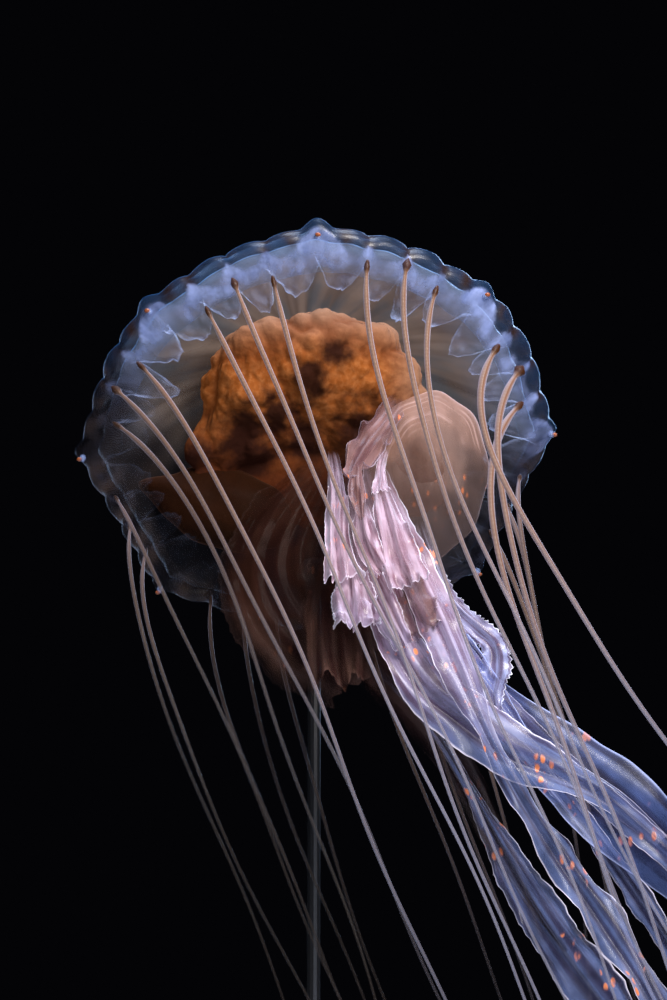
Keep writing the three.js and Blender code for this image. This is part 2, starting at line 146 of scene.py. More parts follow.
def bell_section(angle, share):
    """How far out, as a share of the rim's radius, and how high the skin is."""
    if share < DOME_END:
        out = (1 + RIM_SECTION[0][0] / RIM_RADIUS) * share / DOME_END
        return out, DOME_HEIGHT * (1 - out ** DOME_POWER)
    if share < RIM_END:
        offset, height = on_curve(RIM_SECTION, (share - DOME_END) / (RIM_END - DOME_END))
        return 1 + offset / RIM_RADIUS, height
    start = (1 + RIM_SECTION[-1][0] / RIM_RADIUS) * RIM_RADIUS / INNER_RADIUS
    inner = start * (1 - (share - RIM_END) / (1 - RIM_END))
    height = INNER_HEIGHT * (1 - inner ** DOME_POWER)
    folds = smooth(inner, 0.25, 0.6) * (1 - smooth(inner, 0.8, 0.93))
    height -= CREASE_DEPTH * folds * math.sin(16 * angle + 2.5 * math.sin(3 * angle + 7 * inner))
    return inner * INNER_RADIUS / RIM_RADIUS, height


def bell_skin(turn, share):
    angle = 2 * math.pi * turn
    out, height = bell_section(angle, share)
    radius = out * RIM_RADIUS + (margin_radius(angle) - RIM_RADIUS) * out ** 2
    near_margin = clamp(out) ** 14
    bump = mix(ORGAN_HEIGHT, ORGAN_HEIGHT_NEAR, max(0.0, -math.sin(angle)) ** 4)
    radius += near_margin * (LOBE_HEIGHT * (lobe(angle) - 0.35) + bump * organ(angle))
    height += near_margin * ORGAN_LIFT * organ(angle)
    around = Vector((math.cos(angle), math.sin(angle), 0))
    waver = noise.noise(Vector((9 * around.x, 9 * around.y, 7 * share)))
    return bell_place @ (around * (radius + UNEVENNESS * waver * out) + Vector((0, 0, height)))


def add_grid(name, columns, rows):
    """A flat sheet whose vertices hold their shares across and along it."""
    bpy.ops.object.select_all(action="DESELECT")
    bpy.ops.mesh.primitive_grid_add(x_subdivisions=columns, y_subdivisions=rows, size=1)
    sheet = bpy.context.object
    sheet.name = name
    sheet.data.name = name
    return sheet


def lay(sheet, place, marks=None):
    """Moves each vertex to its place, and keeps its marks as values that the skin is coloured by."""
    shares = [(v.co.x + 0.5, v.co.y + 0.5) for v in sheet.data.vertices]
    for vertex, (across, along) in zip(sheet.data.vertices, shares):
        vertex.co = place(across, along)
    for mark, value in (marks or {}).items():
        layer = sheet.data.attributes.new(mark, "FLOAT", "POINT")
        layer.data.foreach_set("value", [value(*share) for share in shares])
    return sheet


def close_skin(piece):
    """Closes the seams and poles of a rolled-up sheet, and turns its faces outwards."""
    bpy.ops.object.select_all(action="DESELECT")
    piece.select_set(True)
    bpy.context.view_layer.objects.active = piece
    piece.data.uv_layers[0].name = "Unrolled"
    piece.data.uv_layers.new(name="OFBake")
    bpy.ops.object.mode_set(mode="EDIT")
    bpy.ops.mesh.select_all(action="SELECT")
    bpy.ops.mesh.remove_doubles(threshold=0.000004)
    bpy.ops.mesh.normals_make_consistent(inside=False)
    bpy.ops.object.mode_set(mode="OBJECT")
    bpy.ops.object.shade_smooth()
    return piece


def set_sockets(tree, node, sockets):
    """Sets the sockets of a node to values, or joins them to others."""
    for socket, value in sockets.items():
        if isinstance(value, bpy.types.NodeSocket):
            tree.links.new(value, node.inputs[socket])
        else:
            node.inputs[socket].default_value = value


def add_node(tree, kind, sockets=None, **settings):
    node = tree.nodes.new("ShaderNode" + kind)
    for setting, value in settings.items():
        setattr(node, setting, value)
    set_sockets(tree, node, sockets or {})
    return node


def calculate(tree, operation, first, second=0.0, clamped=False):
    sockets = {0: first, 1: second}
    return add_node(tree, "Math", sockets, operation=operation, use_clamp=clamped).outputs[0]


def times(tree, first, second, clamped=False):
    return calculate(tree, "MULTIPLY", first, second, clamped)


def plus(tree, first, second, clamped=False):
    return calculate(tree, "ADD", first, second, clamped)


def blend_colours(tree, share, first, second, way="MIX"):
    """From the first colour to the second. A colour is red, green and blue, or a socket."""
    colours = [(*colour, 1) if isinstance(colour, tuple) else colour for colour in (first, second)]
    sockets = {"Factor": share, 6: colours[0], 7: colours[1]}
    return add_node(tree, "Mix", sockets, data_type="RGBA", blend_type=way).outputs[2]


def from_to(tree, value, low, high, start=0.0, end=1.0):
    """The value turned from the range low..high to start..end, smoothly, and kept inside it."""
    sockets = {"Value": value, 1: low, 2: high, 3: start, 4: end}
    return add_node(tree, "MapRange", sockets, interpolation_type="SMOOTHSTEP").outputs[0]


def mark(tree, name):
    return add_node(tree, "Attribute", attribute_name=name).outputs["Fac"]


def edge_on(tree, blend):
    """0 where a surface faces the eye, and 1 where it is seen from its edge."""
    return add_node(tree, "LayerWeight", {"Blend": blend}).outputs["Facing"]


def object_place(tree):
    return add_node(tree, "TexCoord").outputs["Object"]


def coordinate(tree, axis):
    """How far along one axis of the object a point lies, in metres."""
    return add_node(tree, "SeparateXYZ", {"Vector": object_place(tree)}).outputs[axis]


def add_group(name, inputs):
    """A node group that gives out one amount. Its inputs are named, with the values they start at."""
    group = bpy.data.node_groups.new(name, "ShaderNodeTree")
    group.interface.new_socket("Amount", in_out="OUTPUT", socket_type="NodeSocketFloat")
    for socket, value in inputs.items():
        kind = "NodeSocketVector" if isinstance(value, tuple) else "NodeSocketFloat"
        group.interface.new_socket(socket, in_out="INPUT", socket_type=kind).default_value = value
    given = group.nodes.new("NodeGroupInput").outputs
    return group, given, group.nodes.new("NodeGroupOutput").inputs["Amount"]


speckle_group, given, amount = add_group("speckle", {"Scale": 1.0, "Detail": 4.0, "Stretch": (1, 1, 1)})
sockets = {"Vector": object_place(speckle_group), "Scale": given["Stretch"]}
place = add_node(speckle_group, "Mapping", sockets).outputs[0]
sockets = {"Vector": place, "Scale": given["Scale"], "Detail": given["Detail"]}
speckle_group.links.new(add_node(speckle_group, "TexNoise", sockets).outputs[0], amount)

streaks_group, given, amount = add_group("streaks", {
    "First": 0.0, "Second": 0.0, "Third": 0.0, "Scales": (1, 1, 1), "Detail": 3.0,
})
sockets = {"X": given["First"], "Y": given["Second"], "Z": given["Third"]}
place = add_node(streaks_group, "CombineXYZ", sockets).outputs[0]
sockets = {0: place, 1: given["Scales"]}
place = add_node(streaks_group, "VectorMath", sockets, operation="MULTIPLY").outputs[0]
sockets = {"Vector": place, "Scale": 1.0, "Detail": given["Detail"]}
streaks_group.links.new(add_node(streaks_group, "TexNoise", sockets).outputs[0], amount)


def speckle(tree, scale, detail=4.0, stretch=(1, 1, 1)):
    """Soft cloudy variation from 0 to 1 through the piece."""
    sockets = {"Scale": scale, "Detail": detail, "Stretch": stretch}
    return add_node(tree, "Group", sockets, node_tree=speckle_group).outputs[0]


def streaks(tree, marks, scales, detail=3.0):
    """Soft variation from 0 to 1 that is drawn out along the piece, by three of its marks."""
    sockets = dict(zip(("First", "Second", "Third"), [mark(tree, name) for name in marks]))
    sockets.update({"Scales": scales, "Detail": detail})
    return add_node(tree, "Group", sockets, node_tree=streaks_group).outputs[0]


def add_material(name):
    material = bpy.data.materials.new(name)
    material.use_nodes = True
    return material, material.node_tree, material.node_tree.nodes["Principled BSDF"]


def colour_skin(tree, skin, colour, density, glow, strength=1.0):
    """A surface's colour, how dense it is, and its painted glow: light that it gives out, standing in
    for light that comes through it from behind.
    """
    set_sockets(tree, skin, {
        "Base Color": colour, "Alpha": density, "Emission Color": glow, "Emission Strength": strength,
    })


def wet(tree, skin, roughness, bump, height, coat=0.25, specular=0.5):
    """A wet surface with a fine unevenness."""
    sockets = {"Height": height, "Strength": bump, "Distance": 0.001}
    set_sockets(tree, skin, {
        "Roughness": roughness, "Coat Weight": coat, "Coat Roughness": 0.12,
        "Specular IOR Level": specular, "Normal": add_node(tree, "Bump", sockets).outputs[0],
    })


def rim_share(share):
    return (share - DOME_END) / (RIM_END - DOME_END)


def band_mark(turn, share):
    """The pale band under the margin, on which the tentacles stand. It reaches further out at
    the clefts than under the lobes."""
    angle = 2 * math.pi * turn
    start = 0.29 + 0.15 * lobe(angle)
    place = rim_share(share)
    return smooth(place, start - 0.05, start + 0.05) * (1 - smooth(place, 0.34, 0.86))


def patch_mark(turn, share):
    """Brown patches on the margin beside its clefts."""
    place = rim_share(share)
    return near_cleft(2 * math.pi * turn) * smooth(place, -0.2, 0.05) * (1 - smooth(place, 0.34, 0.46))


def edge_mark(turn, share):
    """The clear margin outside the band."""
    place = rim_share(share)
    return smooth(place, -0.1, 0.1) * (1 - smooth(place, 0.4, 0.5))


def ray_mark(turn, share):
    """Sixteen faint brown rays over the dome, widest near the margin."""
    if share > DOME_END:
        return 0.0
    out = share / DOME_END
    ray = 0.5 + 0.5 * math.cos(16 * 2 * math.pi * turn + 1.2 * math.sin(5 * turn + 9 * out))
    return ray ** 3 * smooth(out, 0.12, 0.4) * (1 - 0.6 * smooth(out, 0.8, 1))


def painted_shade_mark(turn, share):
    """Painted shade: 1 on the far side of the bell, and less on its left and deep inside it, where
    little light comes."""
    angle = 2 * math.pi * turn
    left = smooth(-math.cos(angle), 0.3, 0.95) * smooth(math.sin(angle), -0.85, -0.1)
    left *= mix(0.85, 0.45, smooth(share, RIM_END, RIM_END + 0.1))
    far = farness(angle) * mix(0.75, 1.0, smooth(-math.cos(angle), -0.4, 0.4))
    if share > RIM_END:
        far *= mix(0.45, 1.0, smooth(bell_section(angle, share)[0], 0.5, 0.9))
    return max(far, left)


def inside_mark(turn, share):
    return smooth(share, RIM_END - 0.03, RIM_END + 0.02)


def east_mark(turn, share):
    return math.cos(2 * math.pi * turn)


def north_mark(turn, share):
    return math.sin(2 * math.pi * turn)


def out_mark(turn, share):
    return bell_section(2 * math.pi * turn, share)[0]


bell = add_grid("bell_skin", BELL_COLUMNS, BELL_ROWS)
lay(bell, bell_skin, {
    "band": band_mark, "patch": patch_mark, "edge": edge_mark, "ray": ray_mark, "dim": painted_shade_mark,
    "inside": inside_mark, "east": east_mark, "north": north_mark, "out": out_mark,
})
close_skin(bell)

jelly, tree, skin = add_material("bell_jelly")
cloud = speckle(tree, 60)
flecks = speckle(tree, 170, 5)
pleats = streaks(tree, ("east", "north", "out"), (7, 7, 1.0), 2.5)
wisps = streaks(tree, ("east", "north", "out"), (15, 15, 9.0), 4.0)
patches = streaks(tree, ("north", "east", "out"), (4, 4, 2.5), 2.0)
rim_light = edge_on(tree, 0.35)
dim = mark(tree, "dim")
inside = mark(tree, "inside")
# how much painted light each part takes, the opposite of its painted shade
bright = from_to(tree, dim, 0.0, 0.95, 1.0, 0.05)

# clear jelly with brown rays, and the pleated wall inside with its blue-green patches; the wall's
# darker and lighter radial streaks are partly its own tone and partly painted shade of its folds
colour = blend_colours(tree, cloud, (0.07, 0.09, 0.14), (0.15, 0.17, 0.21))
colour = blend_colours(tree, mark(tree, "ray"), colour, (0.16, 0.085, 0.045))
pleats = from_to(tree, pleats, 0.32, 0.68)
wall = blend_colours(tree, pleats, (0.125, 0.094, 0.078), (0.23, 0.180, 0.150))
patches = from_to(tree, patches, 0.45, 0.65, 0.0, 0.6)
wall = blend_colours(tree, patches, wall, (0.065, 0.10, 0.13))
wall = blend_colours(tree, from_to(tree, mark(tree, "out"), 0.6, 0.95), wall, (0.16, 0.20, 0.28))
colour = blend_colours(tree, inside, colour, wall)

# the margin: a dark blue edge, brown patches and the torn pale band
colour = blend_colours(tree, mark(tree, "edge"), colour, (0.02, 0.06, 0.15))
brown = times(tree, mark(tree, "patch"), from_to(tree, cloud, 0.30, 0.50))
colour = blend_colours(tree, brown, colour, (0.030, 0.013, 0.007))
torn = calculate(tree, "SUBTRACT", plus(tree, flecks, wisps), 1.0)
band = plus(tree, mark(tree, "band"), times(tree, torn, 0.8))
band = times(tree, from_to(tree, band, 0.1, 1.0), from_to(tree, mark(tree, "band"), 0.0, 0.3))
pale = from_to(tree, wisps, 0.3, 0.7)
pale = blend_colours(tree, pale, (0.14, 0.19, 0.41), (0.29, 0.36, 0.66))
colour = blend_colours(tree, band, colour, pale)
# painted shade: the far side, the left and the depth of the bell are coloured dark brown
shaded = from_to(tree, dim, 0.2, 0.9, 0.0, 0.85)
colour = blend_colours(tree, shaded, colour, (0.050, 0.035, 0.030))

# how dense each part is: the painted shade also makes the far side, the left and the depth clearer, and
# the outline fainter there
density = from_to(tree, cloud, 0.2, 0.8, 0.10, 0.24)
density = times(tree, density, from_to(tree, dim, 0.0, 1.0, 1.0, 0.25))
density = plus(tree, density, times(tree, times(tree, inside, 0.62), bright))
mottled = from_to(tree, times(tree, flecks, cloud), 0.12, 0.38, 0.16, 0.64)
density = plus(tree, density, times(tree, times(tree, band, mottled), bright))
density = plus(tree, density, times(tree, brown, 0.55))
density = plus(tree, density, times(tree, mark(tree, "ray"), 0.12))
outline = times(tree, calculate(tree, "POWER", rim_light, 5.0), 0.6)
outline = times(tree, outline, from_to(tree, dim, 0.5, 0.95, 1.0, 0.25))
density = plus(tree, density, outline, True)

# painted light: a glow given out by the skin, stronger inside, that stands in for light through the
# jelly, and a painted blue rim light on edges seen side-on; then a gloss that is strongest on the clear
# edge
lit = times(tree, from_to(tree, inside, 0.0, 1.0, 0.12, 0.50), bright)
glow = blend_colours(tree, lit, (0, 0, 0), colour)
rim_glow = times(tree, calculate(tree, "POWER", rim_light, 6.0), bright)
glow = blend_colours(tree, rim_glow, glow, (0.06, 0.30, 0.85))
colour_skin(tree, skin, colour, density, glow)
shiny = calculate(tree, "MAXIMUM", times(tree, inside, 0.35), mark(tree, "edge"))
shiny = times(tree, shiny, bright)
coat = from_to(tree, shiny, 0.0, 1.0, 0.0, 0.25)
wet(tree, skin, 0.35, 0.12, cloud, coat, from_to(tree, shiny, 0.0, 1.0, 0.1, 0.5))
bell.data.materials.append(jelly)
bell.visible_shadow = False
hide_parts("bell")
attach(bell, "root")


# ---------- the lappets ----------
# Thirty-two thin flaps hang from the margin, four between each two sense organs. They are
# turned in under the bell and overlap a little, and their free edges are wavy and pale.

LAPPET_ROOT = 0.0975
LAPPET_REACH = 0.0205
LAPPET_DROP = 0.0070
LAPPET_OVERLAP = 1.28
LAPPET_THICKNESS = 0.0005
LAPPET_LIFT = 0.0036  # the rise, wave and crinkle of a free edge, and how far some hang lower
LAPPET_WAVE = 0.0022
LAPPET_CRINKLE = 0.0009
LAPPET_DROOP = 0.0022
LAPPET_COUNT = 32
LAPPET_COLUMNS = 48
LAPPET_ROWS = 16
LAPPET_STARTS = [0.0, 12.5, 22.5, 32.5, 45.0]


def rolled(around):
    """Across, from -1 to 1, and off the middle, for a share of the way round a flat tube."""
    return math.cos(2 * math.pi * around), math.sin(2 * math.pi * around)


def lappet_skin(number):
    octant, place = divmod(number, 4)
    low, high = LAPPET_STARTS[place], LAPPET_STARTS[place + 1]
    middle = math.radians(45 * octant + (low + high) / 2)
    half = math.radians((high - low) / 2) * LAPPET_OVERLAP
    seed = Vector((7.3 * number, 2.1, 0))
    reach = LAPPET_REACH * (1 + 0.5 * noise.noise(seed))

    def place_on_lappet(around, along):
        across, off = rolled(around)
        side = across * (1 - 0.25 * along)
        wave = noise.noise(seed + Vector((3.2 * across, 5.0 * along, 1)))
        crinkle = noise.noise(seed + Vector((5 * across, 5 * along, 5)))
        crinkle += 0.2 * noise.noise(seed + Vector((14 * across, 9 * along, 8)))
        angle = middle + half * side + 0.012 * wave * along
        rounded = (1 - 0.85 * abs(across) ** 2.2) ** 0.55 * (1 + 0.08 * crinkle * along)
        radius = margin_radius(angle) - RIM_RADIUS + LAPPET_ROOT - reach * along * rounded
        lift = LAPPET_WAVE * wave + LAPPET_CRINKLE * crinkle
        lift = LAPPET_LIFT * along ** 1.6 + lift * (0.3 + along)
        thick = LAPPET_THICKNESS * off * math.sin(math.pi * clamp(along)) ** 0.3
        droop = LAPPET_DROOP * math.sin(number * 2.4) * along
        height = -LAPPET_DROP + droop + lift + thick
        return bell_place @ Vector((radius * math.cos(angle), radius * math.sin(angle), height))

    return place_on_lappet


def hem_mark(around, along):
    """1 on the free edges of a flap."""
    side = smooth(abs(rolled(around)[0]), 0.92, 0.995) * smooth(along, 0.1, 0.3)
    return max(smooth(along, 0.90, 0.99), side)


def along_mark(around, along):
    return along


def join(pieces, name):
    """Joins like pieces into one object."""
    bpy.ops.object.select_all(action="DESELECT")
    for piece in pieces:
        piece.select_set(True)
    bpy.context.view_layer.objects.active = pieces[0]
    bpy.ops.object.join()
    pieces[0].name = name
    pieces[0].data.name = name
    return pieces[0]


def spread_bake(pieces):
    """Gives each piece its own field of the shared map named OFBake, that its colours can be baked
    onto.
    """
    fields = math.ceil(math.sqrt(len(pieces)))
    for number, piece in enumerate(pieces):
        row, column = divmod(number, fields)
        for corner in piece.data.uv_layers["OFBake"].data:
            corner.uv = ((corner.uv.x * 0.96 + 0.02 + column) / fields,
                         (corner.uv.y * 0.96 + 0.02 + row) / fields)


lappets = []
for number in range(LAPPET_COUNT):
    lappet = add_grid(f"lappet_{number}", LAPPET_COLUMNS, LAPPET_ROWS)
    # how much painted shade this flap takes
    dim = painted_shade_mark((number + 0.5) / LAPPET_COUNT, DOME_END)
    lay(lappet, lappet_skin(number), {
        "hem": hem_mark, "along": along_mark, "dim": lambda around, along: dim,
    })
    lappets.append(close_skin(lappet))
spread_bake(lappets)
lappets = join(lappets, "lappets")

veil, tree, skin = add_material("lappet_veil")
cloud = speckle(tree, 140)
colour = blend_colours(tree, cloud, (0.20, 0.24, 0.40), (0.36, 0.41, 0.62))
colour = blend_colours(tree, mark(tree, "hem"), colour, (0.50, 0.60, 0.92))
density = from_to(tree, cloud, 0.3, 0.7, 0.02, 0.15)
density = plus(tree, density, times(tree, mark(tree, "hem"), 0.11))
outline = calculate(tree, "POWER", edge_on(tree, 0.3), 3.0)
density = plus(tree, density, times(tree, outline, 0.18))
# painted shade: thinner on the far side and the left, so that it looks darker there
density = times(tree, density, from_to(tree, mark(tree, "dim"), 0.0, 0.9, 1.0, 0.04))
density = times(tree, density, from_to(tree, mark(tree, "along"), 0.1, 0.55), True)
# a faint painted glow, as if lit through
colour_skin(tree, skin, colour, density, blend_colours(tree, 0.10, (0, 0, 0), colour))
wet(tree, skin, 0.3, 0.2, cloud)
lappets.data.materials.append(veil)
lappets.visible_shadow = False
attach(lappets, "root")


# ---------- the sense organs ----------
# A sense organ sits in each of the eight notches of the margin: a clear bead with a dark
# orange grain at its end.

ORGAN_COUNT = 8
ORGAN_RADIUS = 0.0017
ORGAN_OUT = -0.0008  # from the margin
ORGAN_HEIGHT_IN_BELL = -0.0022
GRAIN_RADIUS = 0.0009
GRAIN_OUT = 0.0013  # from the middle of its bead
GRAIN_DROP = 0.0008


def add_bead(name, centre, radius, stretch):
    bpy.ops.object.select_all(action="DESELECT")
    bpy.ops.mesh.primitive_uv_sphere_add(segments=20, ring_count=12, radius=radius, location=centre)
    bead = bpy.context.object
    bead.name = name
    bead.scale = stretch
    bead.rotation_euler = bell_place.to_euler()
    bpy.ops.object.transform_apply(location=True, rotation=True, scale=True)
    return close_skin(bead)


beads, grains = [], []
for number in range(ORGAN_COUNT):
    angle = OCTANT * number
    around = Vector((math.cos(angle), math.sin(angle), 0))
    out = margin_radius(angle) + ORGAN_OUT
    centre = bell_place @ (around * out + Vector((0, 0, ORGAN_HEIGHT_IN_BELL)))
    beads.append(add_bead("organ", centre, ORGAN_RADIUS, (0.8, 0.8, 1.2)))
    height = ORGAN_HEIGHT_IN_BELL - GRAIN_DROP
    centre = bell_place @ (around * (out + GRAIN_OUT) + Vector((0, 0, height)))
    grains.append(add_bead("grain", centre, GRAIN_RADIUS, (1.3, 1.1, 0.8)))
spread_bake(beads)
spread_bake(grains)
beads = join(beads, "sense_organs")
grains = join(grains, "sense_grains")

bead_clear, tree, skin = add_material("organ_clear")
cloud = speckle(tree, 700)
colour = blend_colours(tree, cloud, (0.16, 0.24, 0.50), (0.34, 0.42, 0.68))
set_sockets(tree, skin, {"Base Color": colour, "Alpha": from_to(tree, cloud, 0.2, 0.8, 0.22, 0.48)})
wet(tree, skin, 0.2, 0.15, cloud)
beads.data.materials.append(bead_clear)

grain_orange, tree, skin = add_material("grain_orange")
cloud = speckle(tree, 1200)
colour = blend_colours(tree, cloud, (0.10, 0.02, 0.008), (0.60, 0.16, 0.04))
set_sockets(tree, skin, {"Base Color": colour})
wet(tree, skin, 0.35, 0.2, cloud)
grains.data.materials.append(grain_orange)
for piece in (beads, grains):
    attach(piece, "root")


# ---------- the gonads ----------
# Four gonads hang round the stomach as a mass of tightly folded orange-brown tissue. It is
# a closed body, lumpy all over like a cauliflower. Its colour carries painted light: paler on its
# top and right, with painted shade in its folds, hollows and lower part, and a faint painted glow.

GONAD_RADIUS_NEAR = 0.0465
GONAD_RADIUS_FAR = 0.063
GONAD_WAIST = 0.80
GONAD_CORNER = 1.04
GONAD_SHIFT = 0.005
GONAD_SAG = 0.016
GONAD_FULLNESS = 0.8
GONAD_TAPER = 0.2
STOMACH_TOP = 0.058
STOMACH_BOTTOM = 0.0205
GONAD_COLUMNS = 288
GONAD_ROWS = 144
HOLLOWS = [  # across, up and size in metres, of the painted shade in the hollows
    (-0.057, 0.496, 0.017), (-0.043, 0.505, 0.011), (-0.029, 0.517, 0.010), (-0.018, 0.528, 0.008),
    (-0.030, 0.498, 0.010), (-0.009, 0.500, 0.013), (0.003, 0.506, 0.009), (-0.080, 0.486, 0.015),
]
LUMP_SIZES = [(36, 0.0044), (85, 0.0019), (210, 0.0006)]  # lumps in a metre, and their height


def lumps(place):
    """Rounded lumps with narrow folds between them."""
    height = 0.0
    for count, size in LUMP_SIZES:
        height += size * (2.6 * abs(noise.noise(place * count)) - 0.5)
    return height


def gonad_place(turn, share):
    """The smooth body under the lumps, the way out of it, and 1 at its top to -1 at its bottom."""
    angle = 2 * math.pi * turn
    rise = -math.cos(math.pi * share)
    flat = math.sin(math.pi * share)
    corner = math.sin(2 * angle) ** 2
    reach = mix(GONAD_RADIUS_NEAR * mix(1, GONAD_CORNER, corner),
                GONAD_RADIUS_FAR * mix(GONAD_WAIST, 1, corner), farness(angle))
    radius = reach * flat ** GONAD_FULLNESS * (1 - GONAD_TAPER * rise)
    height = (STOMACH_TOP + STOMACH_BOTTOM + (STOMACH_TOP - STOMACH_BOTTOM) * rise) / 2
    height -= GONAD_SAG * farness(angle) * flat ** 2
    around = Vector((math.cos(angle), math.sin(angle), 0))
    outward = (around * flat + Vector((0, 0, rise))).normalized()
    return around * radius + Vector((0, 0, height)), outward, rise


def gonad_skin(turn, share):
    place, outward, rise = gonad_place(turn, share)
    lump = lumps(place) * (1 - smooth(rise, 0.1, 0.7))
    return bell_place @ (place + outward * lump + Vector((0, GONAD_SHIFT, 0)))


def fold_shade_mark(turn, share):
    """1 in the folds between the lumps, where shade is painted."""
    return clamp(0.1 - lumps(gonad_place(turn, share)[0]) * 200)


def hollow_shade_mark(turn, share):
    """1 in the hollows between the gonads, as they are seen from in front, where shade is painted."""
    place = gonad_skin(turn, share)
    spots = [math.hypot(place.x - x, place.z - z) / size for x, z, size in HOLLOWS]
    return max(math.exp(-(spot ** 2)) for spot in spots)


gonads = add_grid("gonad_mass", GONAD_COLUMNS, GONAD_ROWS)
lay(gonads, gonad_skin, {"fold": fold_shade_mark, "hollow": hollow_shade_mark})
close_skin(gonads)

tissue, tree, skin = add_material("gonad_tissue")
fine = speckle(tree, 420, 5)
height = coordinate(tree, "Z")
colour = blend_colours(tree, speckle(tree, 30, 5), (0.19, 0.047, 0.008), (0.29, 0.082, 0.015))
colour = blend_colours(tree, from_to(tree, fine, 0.35, 0.75, 0.0, 0.5), colour, (0.44, 0.16, 0.05))
# painted light: paler on the top and towards the right, where the light falls
colour = blend_colours(tree, from_to(tree, height, 0.524, 0.550), colour, (0.26, 0.138, 0.086))
right = from_to(tree, coordinate(tree, "X"), -0.002, 0.020, 0.0, 0.7)
colour = blend_colours(tree, right, colour, (0.26, 0.15, 0.095))
# painted shade in the folds between the lumps
colour = blend_colours(tree, mark(tree, "fold"), colour, (0.12, 0.026, 0.005))
# painted shade: darker towards the bottom
colour = blend_colours(tree, from_to(tree, height, 0.518, 0.478), colour, (0.082, 0.019, 0.006))
# painted shade: dark hollows between the gonads, spread unevenly
uneven = times(tree, calculate(tree, "SUBTRACT", speckle(tree, 95, 4), 0.5), 1.8)
hollow_shade = from_to(tree, plus(tree, mark(tree, "hollow"), uneven), 0.15, 0.95)
colour = blend_colours(tree, times(tree, hollow_shade, 0.96), colour, (0.018, 0.005, 0.003))
density = from_to(tree, edge_on(tree, 0.5), 0.75, 1.0, 1.0, 0.35)
# with a faint painted glow, as if lit through
colour_skin(tree, skin, colour, density, blend_colours(tree, 0.22, (0, 0, 0), colour))
wet(tree, skin, 0.8, 0.5, fine, 0.0, 0.05)
gonads.data.materials.append(tissue)
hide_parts("gonads")
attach(gonads, "root")


# ---------- the stomach pouches ----------
# Two folds of the stomach wall bulge out below the gonads: a round dome on the right and a
# pointed lobe on the left. Both are thin, with painted light on their tops, painted shade below and
# a painted sheen on edges seen side-on: the right one is half clear and pinkish with pale painted
# highlights on its folds, and the left one is painted dark brown as shade.

POUCH_COLUMNS = 96
POUCH_ROWS = 64
POUCH_UNEVENNESS = 0.0012
POUCHES = [  # name, centre, half width, height and depth, lean, point, colours above (painted light), below (painted shade) and at the edge (a painted sheen), the greatest density, how strong its painted fold highlights and its grains are, and gloss
    # edge, the greatest density, how strong its folds and grains are, and gloss
    ("stomach_pouch_right", (0.020, -0.002, 0.481), 0.027, 0.038, 0.018, 0.15, 0.0,
     (0.36, 0.20, 0.15), (0.14, 0.09, 0.078), (0.72, 0.46, 0.40), 0.62, 0.7, 0.2),
    ("stomach_pouch_left", (-0.066, 0.012, 0.470), 0.030, 0.018, 0.012, 0.28, 0.35,
     (0.021, 0.007, 0.003), (0.010, 0.005, 0.003), (0.10, 0.044, 0.026), 0.9, 0.0, 0.02),
]


def pouch_skin(centre, wide, tall, deep, tilt, tip):
    """A flattened dome about a centre. tip draws one side out to a point."""
    turned = Matrix.Rotation(tilt, 4, "Y")

    def place_on_pouch(turn, share):
        angle = 2 * math.pi * turn
        flat = math.sin(math.pi * share)
        point = 1 + tip * math.exp(-(((angle - math.pi) / 0.35) ** 2))
        ripple = 1 + 0.02 * math.sin(9 * angle) * flat
        place = Vector((wide * math.cos(angle) * flat * point * ripple,
                        deep * math.cos(math.pi * share),
                        tall * math.sin(angle) * flat * ripple))
        place.y += POUCH_UNEVENNESS * noise.noise(place * 90)
        return Vector(centre) + turned @ place

    return place_on_pouch


def ring_mark(turn, share):
    return share


grain_group, given, amount = add_group("leaning_grains", {"Lean": (0, 0, 0), "Scale": 1.0})
sockets = {"Vector": object_place(grain_group), "Rotation": given["Lean"], "Scale": (1, 1, 0.5)}
place = add_node(grain_group, "Mapping", sockets).outputs[0]
sockets = {"Vector": place, "Scale": given["Scale"]}
grain_group.links.new(add_node(grain_group, "TexVoronoi", sockets).outputs["Distance"], amount)


def leaning_grains(tree, lean, scale):
    """How far a point is from the middle of the nearest of many small, long, leaning grains."""
    sockets = {"Lean": (0, lean, 0), "Scale": scale}
    return add_node(tree, "Group", sockets, node_tree=grain_group).outputs[0]


